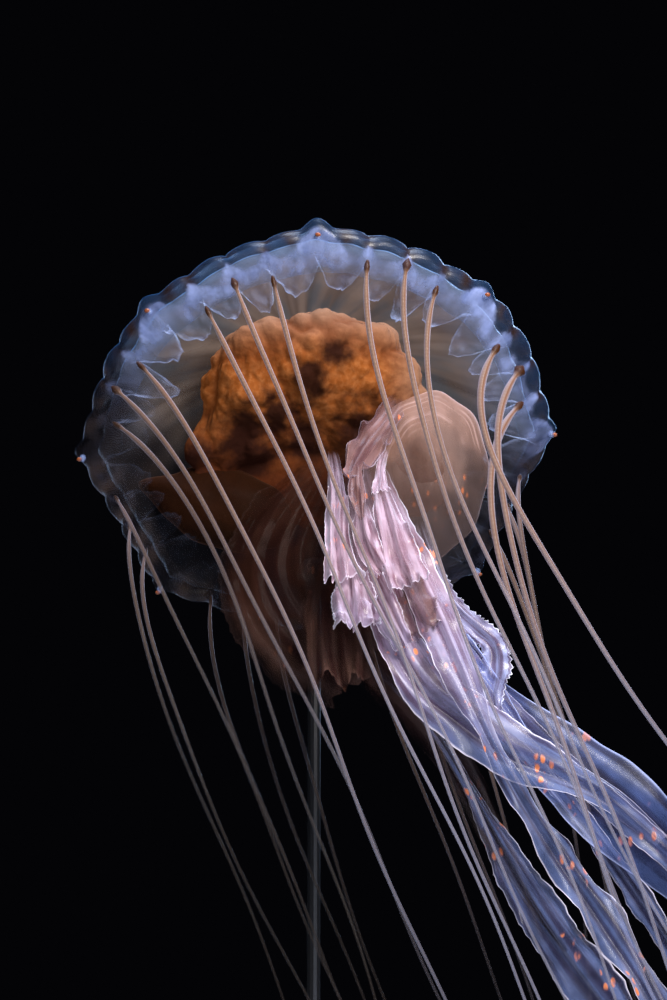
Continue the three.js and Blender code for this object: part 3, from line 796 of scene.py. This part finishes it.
for name, centre, wide, tall, deep, lean, tip, high, low, edge, most, grained, gloss in POUCHES:
    pouch = add_grid(name, POUCH_COLUMNS, POUCH_ROWS)
    lay(pouch, pouch_skin(centre, wide, tall, deep, lean, tip), {"ring": ring_mark})
    close_skin(pouch)

    wall, tree, skin = add_material(name + "_wall")
    cloud = speckle(tree, 50)
    folds = speckle(tree, 160, 3, (1, 1, 0.15))
    rim_light = edge_on(tree, 0.35)
    # painted light and shade: how high, and how far to the left, a point lies; paler there, darker
    # below
    towards_light = plus(tree, coordinate(tree, "Z"), from_to(tree, cloud, 0.0, 1.0, -0.02, 0.02))
    towards_light = calculate(tree, "SUBTRACT", towards_light, times(tree, coordinate(tree, "X"), 0.35))
    colour = blend_colours(tree, from_to(tree, towards_light, 0.455, 0.505), low, high)
    # a painted sheen on edges seen side-on
    colour = blend_colours(tree, calculate(tree, "POWER", rim_light, 4.0), colour, edge)
    # pale arcs on the upper part, painted highlights of its folds
    arcs = streaks(tree, ("ring", "ring", "ring"), (34, 0, 0), 2.0)
    arcs = times(tree, from_to(tree, arcs, 0.48, 0.66), from_to(tree, cloud, 0.48, 0.64))
    arcs = times(tree, arcs, from_to(tree, towards_light, 0.475, 0.495, 0.0, grained))
    colour = blend_colours(tree, arcs, colour, edge)
    rare = from_to(tree, speckle(tree, 45, 3), 0.58, 0.68, 0.0, grained)
    grain = times(tree, from_to(tree, leaning_grains(tree, 0.7, 330.0), 0.40, 0.1), rare)
    colour = blend_colours(tree, grain, colour, (0.85, 0.22, 0.06))
    density = from_to(tree, folds, 0.2, 0.8, most - 0.25, most)
    density = times(tree, density, from_to(tree, towards_light, 0.445, 0.495, 0.55, 1.1))
    density = plus(tree, density, times(tree, grain, 0.3))
    outline = calculate(tree, "POWER", rim_light, 3.0)
    outline = times(tree, outline, from_to(tree, towards_light, 0.445, 0.490, 0.3, 1.0))
    # with a faint painted glow
    colour_skin(tree, skin, colour, plus(tree, density, outline, True), colour, 0.14)
    wet(tree, skin, 0.55, 0.1, folds, 0.0, gloss)
    pouch.data.materials.append(wall)
    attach(pouch, "root")


# ---------- the tentacles ----------
# Twenty-four long, thin tentacles hang from the margin, three between each two sense organs.
# Each is a tapering string of pale flesh with a brown line down one side, faint rings, and a
# dark brown spot where it leaves the bell. Edges seen side-on carry a painted lavender sheen and glow,
# and the tentacles on the far side and the left are painted dark as shade, more so towards their tips.

ROOT_AT_SIDE = 0.866
ROOT_AT_MIDDLE = 0.915
ROOT_AT_FAR = 0.95
ROOT_OUT = [0, 0, 0, 0, 0.03, 0, 0.045, 0.03]  # further out, for each octant
ROOT_CLEARANCE_NEAR = 1.35  # below the margin, in root radii
ROOT_CLEARANCE_FAR = 0.5
ROOT_SUNK = 0.0022  # how far a root reaches up into the margin
TENTACLE_DIAMETERS = [0.0026, 0.0022, 0.0022, 0.0022, 0.0028, 0.0026, 0.0030, 0.0040]
NECK_SHARE = 0.55
NECK_LENGTH = 0.014
LIP_LEVEL = 0.089  # the margin's underside is level inside this radius and rises outside it
LIP_DROP = 0.007
LIP_SLOPE = 0.4
TIP_DIAMETER = 0.0009
TENTACLE_LENGTH = 0.400
TENTACLE_SPREAD = 0.030
INWARD_NEAR = 1.0
INWARD_FAR = -0.3
TURN_LENGTH = 0.048
TENTACLE_SWAY = 0.0025
TENTACLE_WAVELENGTH = 0.170
CLEFT_DEGREES = [12.5, 22.5, 32.5]
DRIFT = [  # towards +X, as a share of the drop, for the three tentacles of each octant
    [0.26, 0.12, 0.24], [0.3, 0.36, 0.4], [0.36, 0.42, 0.46], [0.5, 0.44, 0.44],
    [0.32, 0.46, 0.4], [0.42, 0.47, 0.37], [0.37, 0.42, 0.46], [0.66, 0.37, 0.35],
]
DEPTH_DRIFT_NEAR = [-0.12, -0.03, -0.09]
DEPTH_DRIFT_FAR = [0.03, 0.11, 0.07]
BULB_MIDDLE = 1.6  # how much wider the bulb at its root is, on the middle one of an octant
BULB_SIDE = 0.65
TENTACLE_COUNT = 24
TENTACLE_COLUMNS = 20
TENTACLE_ROWS = 110


def wander(number):
    return math.sin(number * 12.9898 + math.cos(number * 4.1414) * 7.3)


def from_bell(x, y, z):
    return bell_place @ Vector((x, y, z))


def direction_from_bell(x, y, z):
    return (bell_place.to_3x3() @ Vector((x, y, z))).normalized()


def make_route(root, start, end, turn, size, wavelength, phase):
    """A route leaves its root in one direction and turns into another."""

    def route(distance):
        turned = turn * (1 - math.exp(-distance / turn))
        point = root + start * turned + end * (distance - turned)
        now = 2 * math.pi * distance / wavelength + phase
        grown = size * (1 - math.exp(-max(0.0, distance) / wavelength))
        point.x += grown * (math.sin(now) - math.sin(phase))
        point.y += grown * (math.cos(now) - math.cos(phase))
        return point

    return route


def frame_on(route, distance):
    """The direction along a route, across it as seen from in front, and off it."""
    along = (route(distance + 0.0005) - route(distance - 0.0005)).normalized()
    across = along.cross(Vector((0, 1, 0))).normalized()
    return along, across, along.cross(across)


def underside(angle, radius):
    spread = (margin_radius(angle) - RIM_RADIUS) * (LIP_LEVEL / RIM_RADIUS) ** 2
    return LIP_SLOPE * max(0.0, radius - LIP_LEVEL - spread) - LIP_DROP


def tentacle_route(number):
    octant, place = divmod(number, 3)
    angle = math.radians(45 * octant + CLEFT_DEGREES[place])
    near_root = ROOT_AT_MIDDLE if place == 1 else ROOT_AT_SIDE
    share = mix(near_root, ROOT_AT_FAR, farness(angle)) + ROOT_OUT[octant]
    radius = share * margin_radius(angle)
    clearance = mix(ROOT_CLEARANCE_NEAR, ROOT_CLEARANCE_FAR, farness(angle))
    clearance *= NECK_SHARE * TENTACLE_DIAMETERS[octant] / 2
    out_x, out_y = math.cos(angle), math.sin(angle)
    inward = mix(INWARD_NEAR, INWARD_FAR, smooth(out_y, -0.1, 0.5))
    depth = mix(DEPTH_DRIFT_NEAR[place], DEPTH_DRIFT_FAR[place], farness(angle))
    return make_route(
        from_bell(radius * out_x, radius * out_y, underside(angle, radius) - clearance),
        direction_from_bell(-inward * out_x, -inward * out_y, -1),
        Vector((DRIFT[octant][place], depth, -1)).normalized(),
        TURN_LENGTH, TENTACLE_SWAY, TENTACLE_WAVELENGTH, 2 * number,
    )


def tentacle_skin(number):
    route = tentacle_route(number)
    length = TENTACLE_LENGTH + TENTACLE_SPREAD * wander(number)
    bulb = BULB_MIDDLE if number % 3 == 1 else BULB_SIDE
    rows = {}

    def ring(along):
        if along not in rows:
            distance = (length + ROOT_SUNK) * along ** 1.35 - ROOT_SUNK
            share = clamp(distance / length)
            radius = mix(TENTACLE_DIAMETERS[number // 3], TIP_DIAMETER, share ** 0.42) / 2
            radius *= mix(NECK_SHARE, 1, smooth(distance, 0.002, 0.002 + NECK_LENGTH))
            radius *= 1 + bulb * math.exp(-(((distance - 0.0014) / 0.0016) ** 2))
            radius *= math.sqrt(clamp(along * 60)) * math.sqrt(clamp((1 - along) * 120))
            rows[along] = (route(distance), radius, *frame_on(route, distance)[1:])
        return rows[along]

    def place_on_tentacle(around, along):
        point, radius, across, off = ring(along)
        angle = 2 * math.pi * around
        groove = 1 - 0.08 * math.exp(-(((around - 0.19) / 0.06) ** 2))
        return point + (across * math.cos(angle) + off * math.sin(angle)) * radius * groove

    return place_on_tentacle


def line_mark(around, along):
    """The brown line down one side of a tentacle."""
    return math.exp(-(((around - 0.19) / 0.045) ** 2)) * (1 - 0.6 * along)


def spot_mark(around, along):
    return 1 - smooth(along, 0.034, 0.050)


string, tree, skin = add_material("tentacle_string")
along = mark(tree, "along")
dim = mark(tree, "dim")
unrolled = add_node(tree, "UVMap", uv_map="Unrolled").outputs[0]
rings = add_node(tree, "Mapping", {"Vector": unrolled, "Scale": (0.01, 1, 1)}).outputs[0]
sockets = {"Vector": rings, "Scale": 50.0, "Distortion": 0.4, "Detail": 1.0}
rings = add_node(tree, "TexWave", sockets, bands_direction="Y").outputs["Fac"]
colour = blend_colours(tree, speckle(tree, 120), (0.16, 0.080, 0.040), (0.25, 0.145, 0.090))
colour = blend_colours(tree, from_to(tree, along, 0.2, 0.7), colour, (0.23, 0.235, 0.31))
# a painted lavender sheen on edges seen side-on
edges = calculate(tree, "POWER", edge_on(tree, 0.4), 1.2)
edges = times(tree, edges, from_to(tree, along, 0.1, 0.5, 1.0, 0.6))
colour = blend_colours(tree, edges, colour, (0.50, 0.46, 0.60))
colour = blend_colours(tree, times(tree, rings, 0.06), colour, (0.70, 0.60, 0.55))
colour = blend_colours(tree, mark(tree, "line"), colour, (0.17, 0.055, 0.010))
colour = blend_colours(tree, mark(tree, "spot"), colour, (0.048, 0.014, 0.0015))
# painted shade on the far side and the left
colour = blend_colours(tree, dim, colour, (0.035, 0.026, 0.022))
# a painted glow, strongest on the edges and weaker in the painted shade
lit = calculate(tree, "SUBTRACT", 1.0, dim)
lit = times(tree, from_to(tree, edges, 0.0, 1.0, 0.05, 0.40), lit)
density = from_to(tree, along, 0.1, 0.9, 0.92, 0.42)
# clearer in the painted shade
density = times(tree, density, from_to(tree, dim, 0.2, 1.0, 1.0, 0.5))
colour_skin(tree, skin, colour, density, blend_colours(tree, lit, (0, 0, 0), colour))
wet(tree, skin, 0.42, 0.02, rings, 0.05, 0.15)

for number in range(TENTACLE_COUNT):
    name = f"tentacle_{number + 1:02d}"
    tentacle = add_grid(name, TENTACLE_COLUMNS, TENTACLE_ROWS)
    # how much painted shade this tentacle takes, more towards its tip
    dim = painted_shade_mark((number // 3 + CLEFT_DEGREES[number % 3] / 45) / 8, DOME_END)
    lay(tentacle, tentacle_skin(number), {
        "line": line_mark, "spot": spot_mark, "along": along_mark,
        "dim": lambda around, along: clamp(dim * (0.5 + 1.1 * along)),
    })
    close_skin(tentacle)
    tentacle.data.materials.append(string)
    tentacle.visible_shadow = False
    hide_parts(name + "_upper", name + "_lower")
    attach(tentacle, "root")


# ---------- the oral arms ----------
# Four long arms hang from the mouth. Each is a thin ribbon, gathered into many ruffles at
# its top and drawn out into a clear streamer below, with small orange grains in it.

MOUTH = Vector((0.020, 0.010, 0.015))
ARM_ROOT_RADIUS = 0.009
ARM_BACK_LEAN = 0.25
ARM_SPREAD = 0.2
ARM_SWAY = 0.004
ARM_WAVELENGTH = 0.190
BELLY_AT = 0.080
BELLY_LENGTH = 0.045
VEIL_THICKNESS = 0.0008
RIBBON_COLUMNS = 80
RIBBON_ROWS = 110
ARM_SIZES = {  # degrees round the mouth, side, lean, depth, turn and belly
    "arm_near": (-90, -0.05, 0.60, -0.05, 0.120, 0.0),
    "arm_right": (0, -0.30, 1.60, 0.10, 0.170, 0.0),
    "arm_far": (90, 0.25, 0.85, 0.0, 0.130, 0.0),
    "arm_left": (180, -0.10, 0.68, 0.02, 0.075, -0.024),
}


def arm_route(name):
    degrees, side, lean, depth, turn, belly = ARM_SIZES[name]
    angle = math.radians(degrees)
    out_x, out_y = math.cos(angle), math.sin(angle)
    root = from_bell(MOUTH.x + ARM_ROOT_RADIUS * out_x, MOUTH.y + ARM_ROOT_RADIUS * out_y, MOUTH.z)
    start = direction_from_bell(side + ARM_SPREAD * out_x, ARM_BACK_LEAN + ARM_SPREAD * out_y, -1)
    end = Vector((lean, depth, -1)).normalized()
    straight = make_route(root, start, end, turn, ARM_SWAY, ARM_WAVELENGTH, angle)

    def route(distance):
        point = straight(distance)
        point.x += belly * math.exp(-(((distance - BELLY_AT) / BELLY_LENGTH) ** 2))
        return point

    return route


def route_through(points, length):
    """A route through a few points given in millimetres."""
    places = [Vector(point) * 0.001 for point in points]
    return lambda distance: on_curve(places, distance / length)


def ribbon_skin(route, length, widths, pleats, ruffles, ragged, turn, seed, start=0.0):
    """A ribbon along a route. pleats run along it and ruffles along its edges, each given as
    a count and a depth. ragged is how far its edges, their teeth and its end are torn, and
    turn is its twist about the route at its two ends."""
    rows = {}
    far = Vector((seed * 3.7, seed * 1.3, 0))

    def row(along):
        if along not in rows:
            distance = mix(start, length, along)
            forward, across, off = frame_on(route, distance)
            twist = Matrix.Rotation(mix(turn[0], turn[1], along), 3, forward)
            width = on_curve([(w, 0) for w in widths], along).x * 0.001
            rows[along] = (route(distance), forward, twist @ across, twist @ off, max(0.0004, width))
        return rows[along]

    def place_on_ribbon(around, along):
        side, off = rolled(around)
        point, forward, across, outward, half = row(along)
        edge = abs(side)
        hand = math.copysign(1, side)
        opened = smooth(along, 0.0, 0.3)
        torn = noise.noise(far + Vector((hand * 2, 9 * along, 3)))
        torn += 0.4 * noise.noise(far + Vector((hand * 2, 26 * along, 3)))
        tooth = (along * 36 + 0.3 * hand) % 1 - 0.5
        wide = side * half * (1 + (ragged[0] * torn + ragged[1] * tooth) * edge ** 4)
        waver = 1.2 * noise.noise(far + Vector((0, 1.8 * along, 1.5 * side)))
        fold = math.sin(math.pi * pleats[0] * side + 2 * waver)
        fold += 0.25 * math.sin(2.3 * math.pi * pleats[0] * side + 3 * waver)
        lift = pleats[1] * fold * mix(0.3, 1.0, opened)
        phase = 2 * math.pi * ruffles[0] * along + 1.9 * hand
        phase += 2.6 * noise.noise(far + Vector((5 * along, hand, 9)))
        lift += ruffles[1] * edge ** 3 * math.sin(phase) * opened
        slide = 0.5 * ruffles[1] * edge ** 3 * math.cos(phase) * opened
        tear = noise.noise(far + Vector((3 * side, 0, 0)))
        tear += 0.5 * noise.noise(far + Vector((11 * side, 1, 0)))
        slide += ragged[2] * half * tear * smooth(along, 0.6, 1.0)
        lace = smooth(along, 0.82, 1.0) * math.sin(14 * side + 4 * waver)
        lift += 0.5 * ruffles[1] * lace
        thick = 0.5 * VEIL_THICKNESS * off * math.sin(math.pi * clamp(along * 0.998 + 0.001)) ** 0.25
        return point + across * wide + outward * (lift + thick) + forward * slide

    return place_on_ribbon


def side_mark(around, along):
    return rolled(around)[0]


def add_ribbon(name, place):
    ribbon = add_grid(name, RIBBON_COLUMNS, RIBBON_ROWS)
    lay(ribbon, place, {"side": side_mark, "along": along_mark})
    return close_skin(ribbon)


def frill_material(name, colours, hem, most, least, grains, shine=1.0, roughness=0.36):
    """Thin flesh that goes from one colour to another down the animal, and clearer below. Its
    edges seen side-on carry a painted sheen as strong as it shines, and fade away where it doesn't,
    and it gives out a faint painted glow that grows with its shine."""
    material, tree, skin = add_material(name)
    top, middle, low = colours
    along = mark(tree, "along")
    height = coordinate(tree, "Z")
    fibres = streaks(tree, ("side", "along", "along"), (3.2, 2.4, 0.0))
    colour = blend_colours(tree, from_to(tree, height, 0.345, 0.390), low, middle)
    colour = blend_colours(tree, from_to(tree, height, 0.385, 0.43), colour, top)
    dim = blend_colours(tree, 1.0, colour, (0.58, 0.42, 0.46), "MULTIPLY")
    colour = blend_colours(tree, from_to(tree, fibres, 0.38, 0.58), dim, colour)
    side = calculate(tree, "ABSOLUTE", mark(tree, "side"))
    end = from_to(tree, along, 0.965, 0.995, 0.0, 0.5)
    edge = calculate(tree, "MAXIMUM", from_to(tree, side, 0.93, 0.995), end)
    colour = blend_colours(tree, edge, colour, hem)
    # a painted sheen on edges seen side-on
    outline = times(tree, calculate(tree, "POWER", edge_on(tree, 0.4), 1.9), shine)
    colour = blend_colours(tree, times(tree, outline, 0.8), colour, hem)
    rare = from_to(tree, speckle(tree, 60, 2), 0.58, 0.64)
    grain = times(tree, from_to(tree, leaning_grains(tree, 0.5, 260.0), 0.34, 0.20), rare)
    grain = times(tree, grain, grains)
    colour = blend_colours(tree, grain, colour, (0.80, 0.24, 0.09))
    density = from_to(tree, height, 0.31, 0.41, least, most)
    density = times(tree, density, from_to(tree, fibres, 0.3, 0.7, 0.65, 1.25))
    density = times(tree, density, from_to(tree, speckle(tree, 110), 0.3, 0.7, 0.6, 1.2))
    density = times(tree, density, from_to(tree, along, 0.0, 0.32))
    density = times(tree, density, from_to(tree, side, 0.6, 1.0, 1.0, shine))
    begun = from_to(tree, along, 0.1, 0.45, 0.0, 0.45 * shine)
    begun = times(tree, begun, from_to(tree, height, 0.30, 0.41, 0.4, 1.0))
    density = plus(tree, density, times(tree, edge, begun))
    density = plus(tree, density, times(tree, grain, 0.6))
    density = plus(tree, density, times(tree, outline, begun), True)
    # a faint painted glow
    glow = blend_colours(tree, 0.04 + 0.15 * shine, (0, 0, 0), colour)
    colour_skin(tree, skin, colour, density, glow)
    wet(tree, skin, roughness, 0.12, fibres, 0.25 * shine, 0.5 * shine)
    return material


frill = frill_material(
    "arm_frill", [(0.50, 0.33, 0.41), (0.35, 0.30, 0.46), (0.14, 0.19, 0.40)],
    (0.95, 0.88, 1.0), 0.68, 0.32, 1.0,
)
# the left arm's broad curtain, painted dark brown as shade
shaded_curtain = frill_material(
    "arm_curtain", [(0.028, 0.009, 0.005), (0.080, 0.040, 0.030), (0.060, 0.045, 0.045)],
    (0.130, 0.070, 0.058), 0.70, 0.42, 0.12, 0.08, 0.8,
)
# darker, browner flesh for the crumpled folds near the mouth: partly their own colour and partly
# painted shade in the pockets between them
pocket = frill_material(
    "arm_pocket", [(0.26, 0.13, 0.115), (0.22, 0.13, 0.15), (0.14, 0.12, 0.20)],
    (0.56, 0.44, 0.52), 0.62, 0.25, 1.0, 0.7,
)
veil_blue = frill_material(
    "arm_veil", [(0.46, 0.42, 0.60), (0.36, 0.38, 0.62), (0.20, 0.24, 0.44)],
    (0.92, 0.90, 1.0), 0.70, 0.32, 1.0,
)
sheet = frill_material(
    "arm_sheet", [(0.20, 0.20, 0.40), (0.16, 0.20, 0.48), (0.12, 0.18, 0.46)],
    (0.45, 0.52, 0.85), 0.30, 0.18, 0.6,
)

BANDS = {  # on the arm's own route: half widths in mm, pleats, ruffles, torn, twist, start, end, flesh
    "arm_near": [
        ((4, 6, 8, 8, 8, 4, 5, 7, 7, 6, 4, 1), (1, 0.0010), (10, 0.003), (0.3, 0.1, 0.3), (0.2, -0.6),
         0.0, 0.390, frill),
    ],
    "arm_right": [
        ((3, 3, 3, 3, 3, 6, 12, 17, 16, 12, 7, 2), (1, 0.0014), (4, 0.003), (0.12, 0.0, 0.3),
         (0.3, 0.2), 0.0, 0.340, sheet),
        ((2, 3, 4, 4, 4, 5, 5, 5, 5, 4, 3, 1), (1, 0.0008), (9, 0.002), (0.2, 0.1, 0.3), (0.2, 0.1),
         0.0, 0.340, frill),
    ],
    "arm_far": [
        ((4, 6, 6, 6, 5, 4, 4, 5, 5, 4, 3, 1), (2, 0.0010), (12, 0.003), (0.4, 0.2, 0.3), (-0.2, 0.8),
         0.0, 0.370, frill),
    ],
    "arm_left": [
        ((6, 13, 21, 28, 32, 33, 31, 26), (6, 0.0012), (5, 0.003), (0.10, 0.04, 0.35), (0.0, 0.1),
         0.0, 0.120, shaded_curtain),
        ((6, 9, 9, 8, 7, 5, 3, 1), (2, 0.0010), (5, 0.003), (0.15, 0.04, 0.35), (0.0, 0.1),
         0.085, 0.260, shaded_curtain),
        ((1, 2, 2, 3, 6, 9, 10, 10, 8, 5, 3, 1), (2, 0.0012), (9, 0.003), (0.25, 0.1, 0.3), (0.0, 0.5),
         0.115, 0.380, frill),
    ],
}
FRILLS = {  # points in mm, half widths, pleats, ruffles, torn, twist and flesh
    "arm_near": [
        (((-12, -28, 478), (-8, -40, 452), (-3, -46, 432), (2, -50, 414), (7, -54, 397), (17, -58, 380),
          (32, -60, 367), (50, -58, 353), (70, -57, 344), (90, -56, 334), (109, -54, 318)),
         (3, 5, 7, 8, 9, 10, 11, 12, 10, 7, 5, 2),
         (1, 0.0016), (4, 0.0025), (0.15, 0.03, 0.25), (0.1, -0.2), frill),
        (((-1, -42, 468), (3, -53, 449), (7, -59, 432), (11, -63, 419)), (2, 6, 8, 9),
         (2, 0.0016), (2, 0.003), (0.12, 0.03, 0.3), (0.0, 0.2), frill),
        (((4, -46, 434), (9, -53, 420), (14, -57, 408), (18, -58, 400)), (6, 9, 10, 8),
         (1, 0.0022), (3, 0.003), (0.15, 0.08, 0.25), (0.2, 0.4), pocket),
        (((-10, -50, 436), (-4, -54, 421), (3, -58, 406), (9, -60, 394)), (5, 6, 6, 4),
         (3, 0.0014), (2, 0.002), (0.15, 0.03, 0.4), (0.0, 0.0), frill),
    ],
    "arm_right": [
        (((15, -42, 451), (21, -46, 430), (28, -48, 415), (38, -50, 404), (45, -51, 397),
          (46, -53, 387), (44, -55, 375), (47, -56, 364)), (2, 3.5, 4.5, 5, 5, 6, 4, 2),
         (1, 0.0008), (9, 0.0015), (0.15, 0.3, 0.3), (-0.2, 0.5), veil_blue),
        (((14, -46, 425), (20, -49, 409), (29, -51, 392), (40, -54, 374), (50, -55, 358)),
         (4, 8, 10, 10, 8), (5, 0.0006), (2, 0.001), (0.05, 0.0, 0.15), (0.0, 0.0), sheet),
    ],
    "arm_far": [
        (((-8, -50, 456), (-7, -55, 444), (-4, -58, 433), (0, -60, 425)), (2, 5, 5, 3),
         (1, 0.0018), (2, 0.002), (0.12, 0.03, 0.3), (0.3, 0.0), frill),
        (((9, -14, 513), (3, -24, 500), (-5, -35, 486), (-11, -44, 473), (-12, -48, 466)),
         (3, 5, 7, 6, 4, 1), (2, 0.0018), (4, 0.003), (0.25, 0.04, 0.1), (0.0, 0.5), pocket),
        (((2, -28, 486), (0, -38, 473), (0, -46, 462)), (2, 2, 4),
         (1, 0.0008), (2, 0.001), (0.1, 0.03, 0.2), (0.0, 0.0), frill),
        (((-10, -46, 474), (-10, -52, 461), (-8, -58, 447)), (1, 3.6, 1),
         (1, 0.0006), (1, 0.001), (0.05, 0.0, 0.1), (0.0, 0.0), pocket),
    ],
    "arm_left": [
        (((-6, -15, 480), (-15, -30, 441), (-19, -40, 410), (-17, -46, 383)), (4, 12, 14, 13),
         (4, 0.0012), (4, 0.003), (0.15, 0.1, 0.5), (0.1, 0.0), shaded_curtain),
        (((-20, -24, 486), (-18, -40, 464), (-18, -52, 443), (-15, -60, 422)), (2, 4, 5, 8),
         (2, 0.0018), (2, 0.003), (0.12, 0.03, 0.35), (0.0, -0.3), frill),
        (((-13, -48, 436), (-12, -55, 422), (-11, -60, 411), (-10, -63, 402)), (3, 7, 9, 9),
         (2, 0.0024), (3, 0.004), (0.2, 0.05, 0.35), (0.2, -0.2), frill),
    ],
}

seed = 0
for name in ARM_SIZES:
    pieces = []
    for widths, pleats, ruffles, ragged, turn, start, end, flesh in BANDS[name]:
        seed += 1
        place = ribbon_skin(arm_route(name), end, widths, pleats, ruffles, ragged, turn, seed, start)
        pieces.append(add_ribbon(f"{name}_band_{seed}", place))
        pieces[-1].data.materials.append(flesh)
    for points, widths, pleats, ruffles, ragged, turn, flesh in FRILLS[name]:
        seed += 1
        length = 0.001 * sum((Vector(b) - Vector(a)).length for a, b in zip(points, points[1:]))
        route = route_through(points, length)
        place = ribbon_skin(route, length, widths, pleats, ruffles, ragged, turn, seed)
        pieces.append(add_ribbon(f"{name}_frill_{seed}", place))
        pieces[-1].data.materials.append(flesh)
    spread_bake(pieces)
    arm = join(pieces, name)
    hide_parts(name + "_upper", name + "_lower")
    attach(arm, "root")


# ---------- the stand ----------
# A plain display stand: a turned disc of steel with softened edges, and a bent rod with a
# collar at its foot and a round pad behind the bell. Both are painted satin black.

paint, tree, skin = add_material("stand_paint")
fine = speckle(tree, 1400, 2)
bump = add_node(tree, "Bump", {"Height": fine, "Strength": 0.05, "Distance": 0.0005}).outputs[0]
set_sockets(tree, skin, {
    "Base Color": blend_colours(tree, fine, (0.012, 0.012, 0.013), (0.022, 0.022, 0.024)),
    "Roughness": from_to(tree, fine, 0.3, 0.7, 0.32, 0.42), "Normal": bump,
})
for name in ("stand_base", "stand_rod"):
    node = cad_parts[name]
    node.data.materials.clear()
    node.data.materials.append(paint)


# ---------- the studio ----------
# A pale floor, a dark room and four soft lamps: a warm one in front, a large cool one above,
# a weak cool one low on the right, and a cool one behind that lights the edges.

FLOOR_WIDTH = 8
FLOOR_DROP = 0.0005
bpy.ops.object.select_all(action="DESELECT")
bpy.ops.mesh.primitive_plane_add(size=FLOOR_WIDTH, location=(0, 0, -FLOOR_DROP))
floor = bpy.context.object
floor.name = "floor"
pale, tree, skin = add_material("floor_pale")
colour = blend_colours(tree, speckle(tree, 3), (0.60, 0.60, 0.61), (0.66, 0.66, 0.66))
set_sockets(tree, skin, {"Base Color": colour, "Roughness": 0.9})
floor.data.materials.append(pale)

world = bpy.data.worlds.new("dark_room")
world.use_nodes = True
world.node_tree.nodes["Background"].inputs["Color"].default_value = (0.0012, 0.0012, 0.0018, 1)
bpy.context.scene.world = world

LAMPS = [  # name, place, size, watts, colour
    ("lamp_front", (0.22, -0.56, 0.76), 0.3, 5.9, (1.0, 0.95, 0.92)),
    ("lamp_above", (0.05, -0.20, 1.15), 0.5, 6, (0.60, 0.74, 1.0)),
    ("lamp_low", (0.7, -1.0, 0.2), 0.6, 3, (0.72, 0.80, 1.0)),
    ("lamp_behind", (0.3, 0.9, 0.9), 0.6, 7, (0.45, 0.65, 1.0)),
]
for name, place, size, watts, colour in LAMPS:
    lamp = bpy.data.lights.new(name, "AREA")
    lamp.size = size
    lamp.energy = watts
    lamp.color = colour
    holder = bpy.data.objects.new(name, lamp)
    holder.location = place
    aim = BELL_CENTRE - Vector(place)
    holder.rotation_euler = aim.to_track_quat("-Z", "Y").to_euler()
    holder.visible_camera = False
    bpy.context.scene.collection.objects.link(holder)

bpy.context.scene.cycles.transparent_max_bounces = 48
bpy.context.scene.view_settings.view_transform = "Standard"

CAMERA_PLACE = (-0.0195, -0.9817, 0.2079)
CAMERA_PITCH = math.radians(105)
SENSOR_HEIGHT = 36
PICTURE_HEIGHT = 1000  # in pixels
FOCAL_PIXELS = 2356
camera = bpy.data.cameras.new("camera")
camera.sensor_fit = "VERTICAL"
camera.sensor_height = SENSOR_HEIGHT
camera.lens = SENSOR_HEIGHT * FOCAL_PIXELS / PICTURE_HEIGHT
viewer = bpy.data.objects.new("camera", camera)
viewer.location = CAMERA_PLACE
viewer.rotation_euler = (CAMERA_PITCH, 0, 0)
bpy.context.scene.collection.objects.link(viewer)
bpy.context.scene.camera = viewer
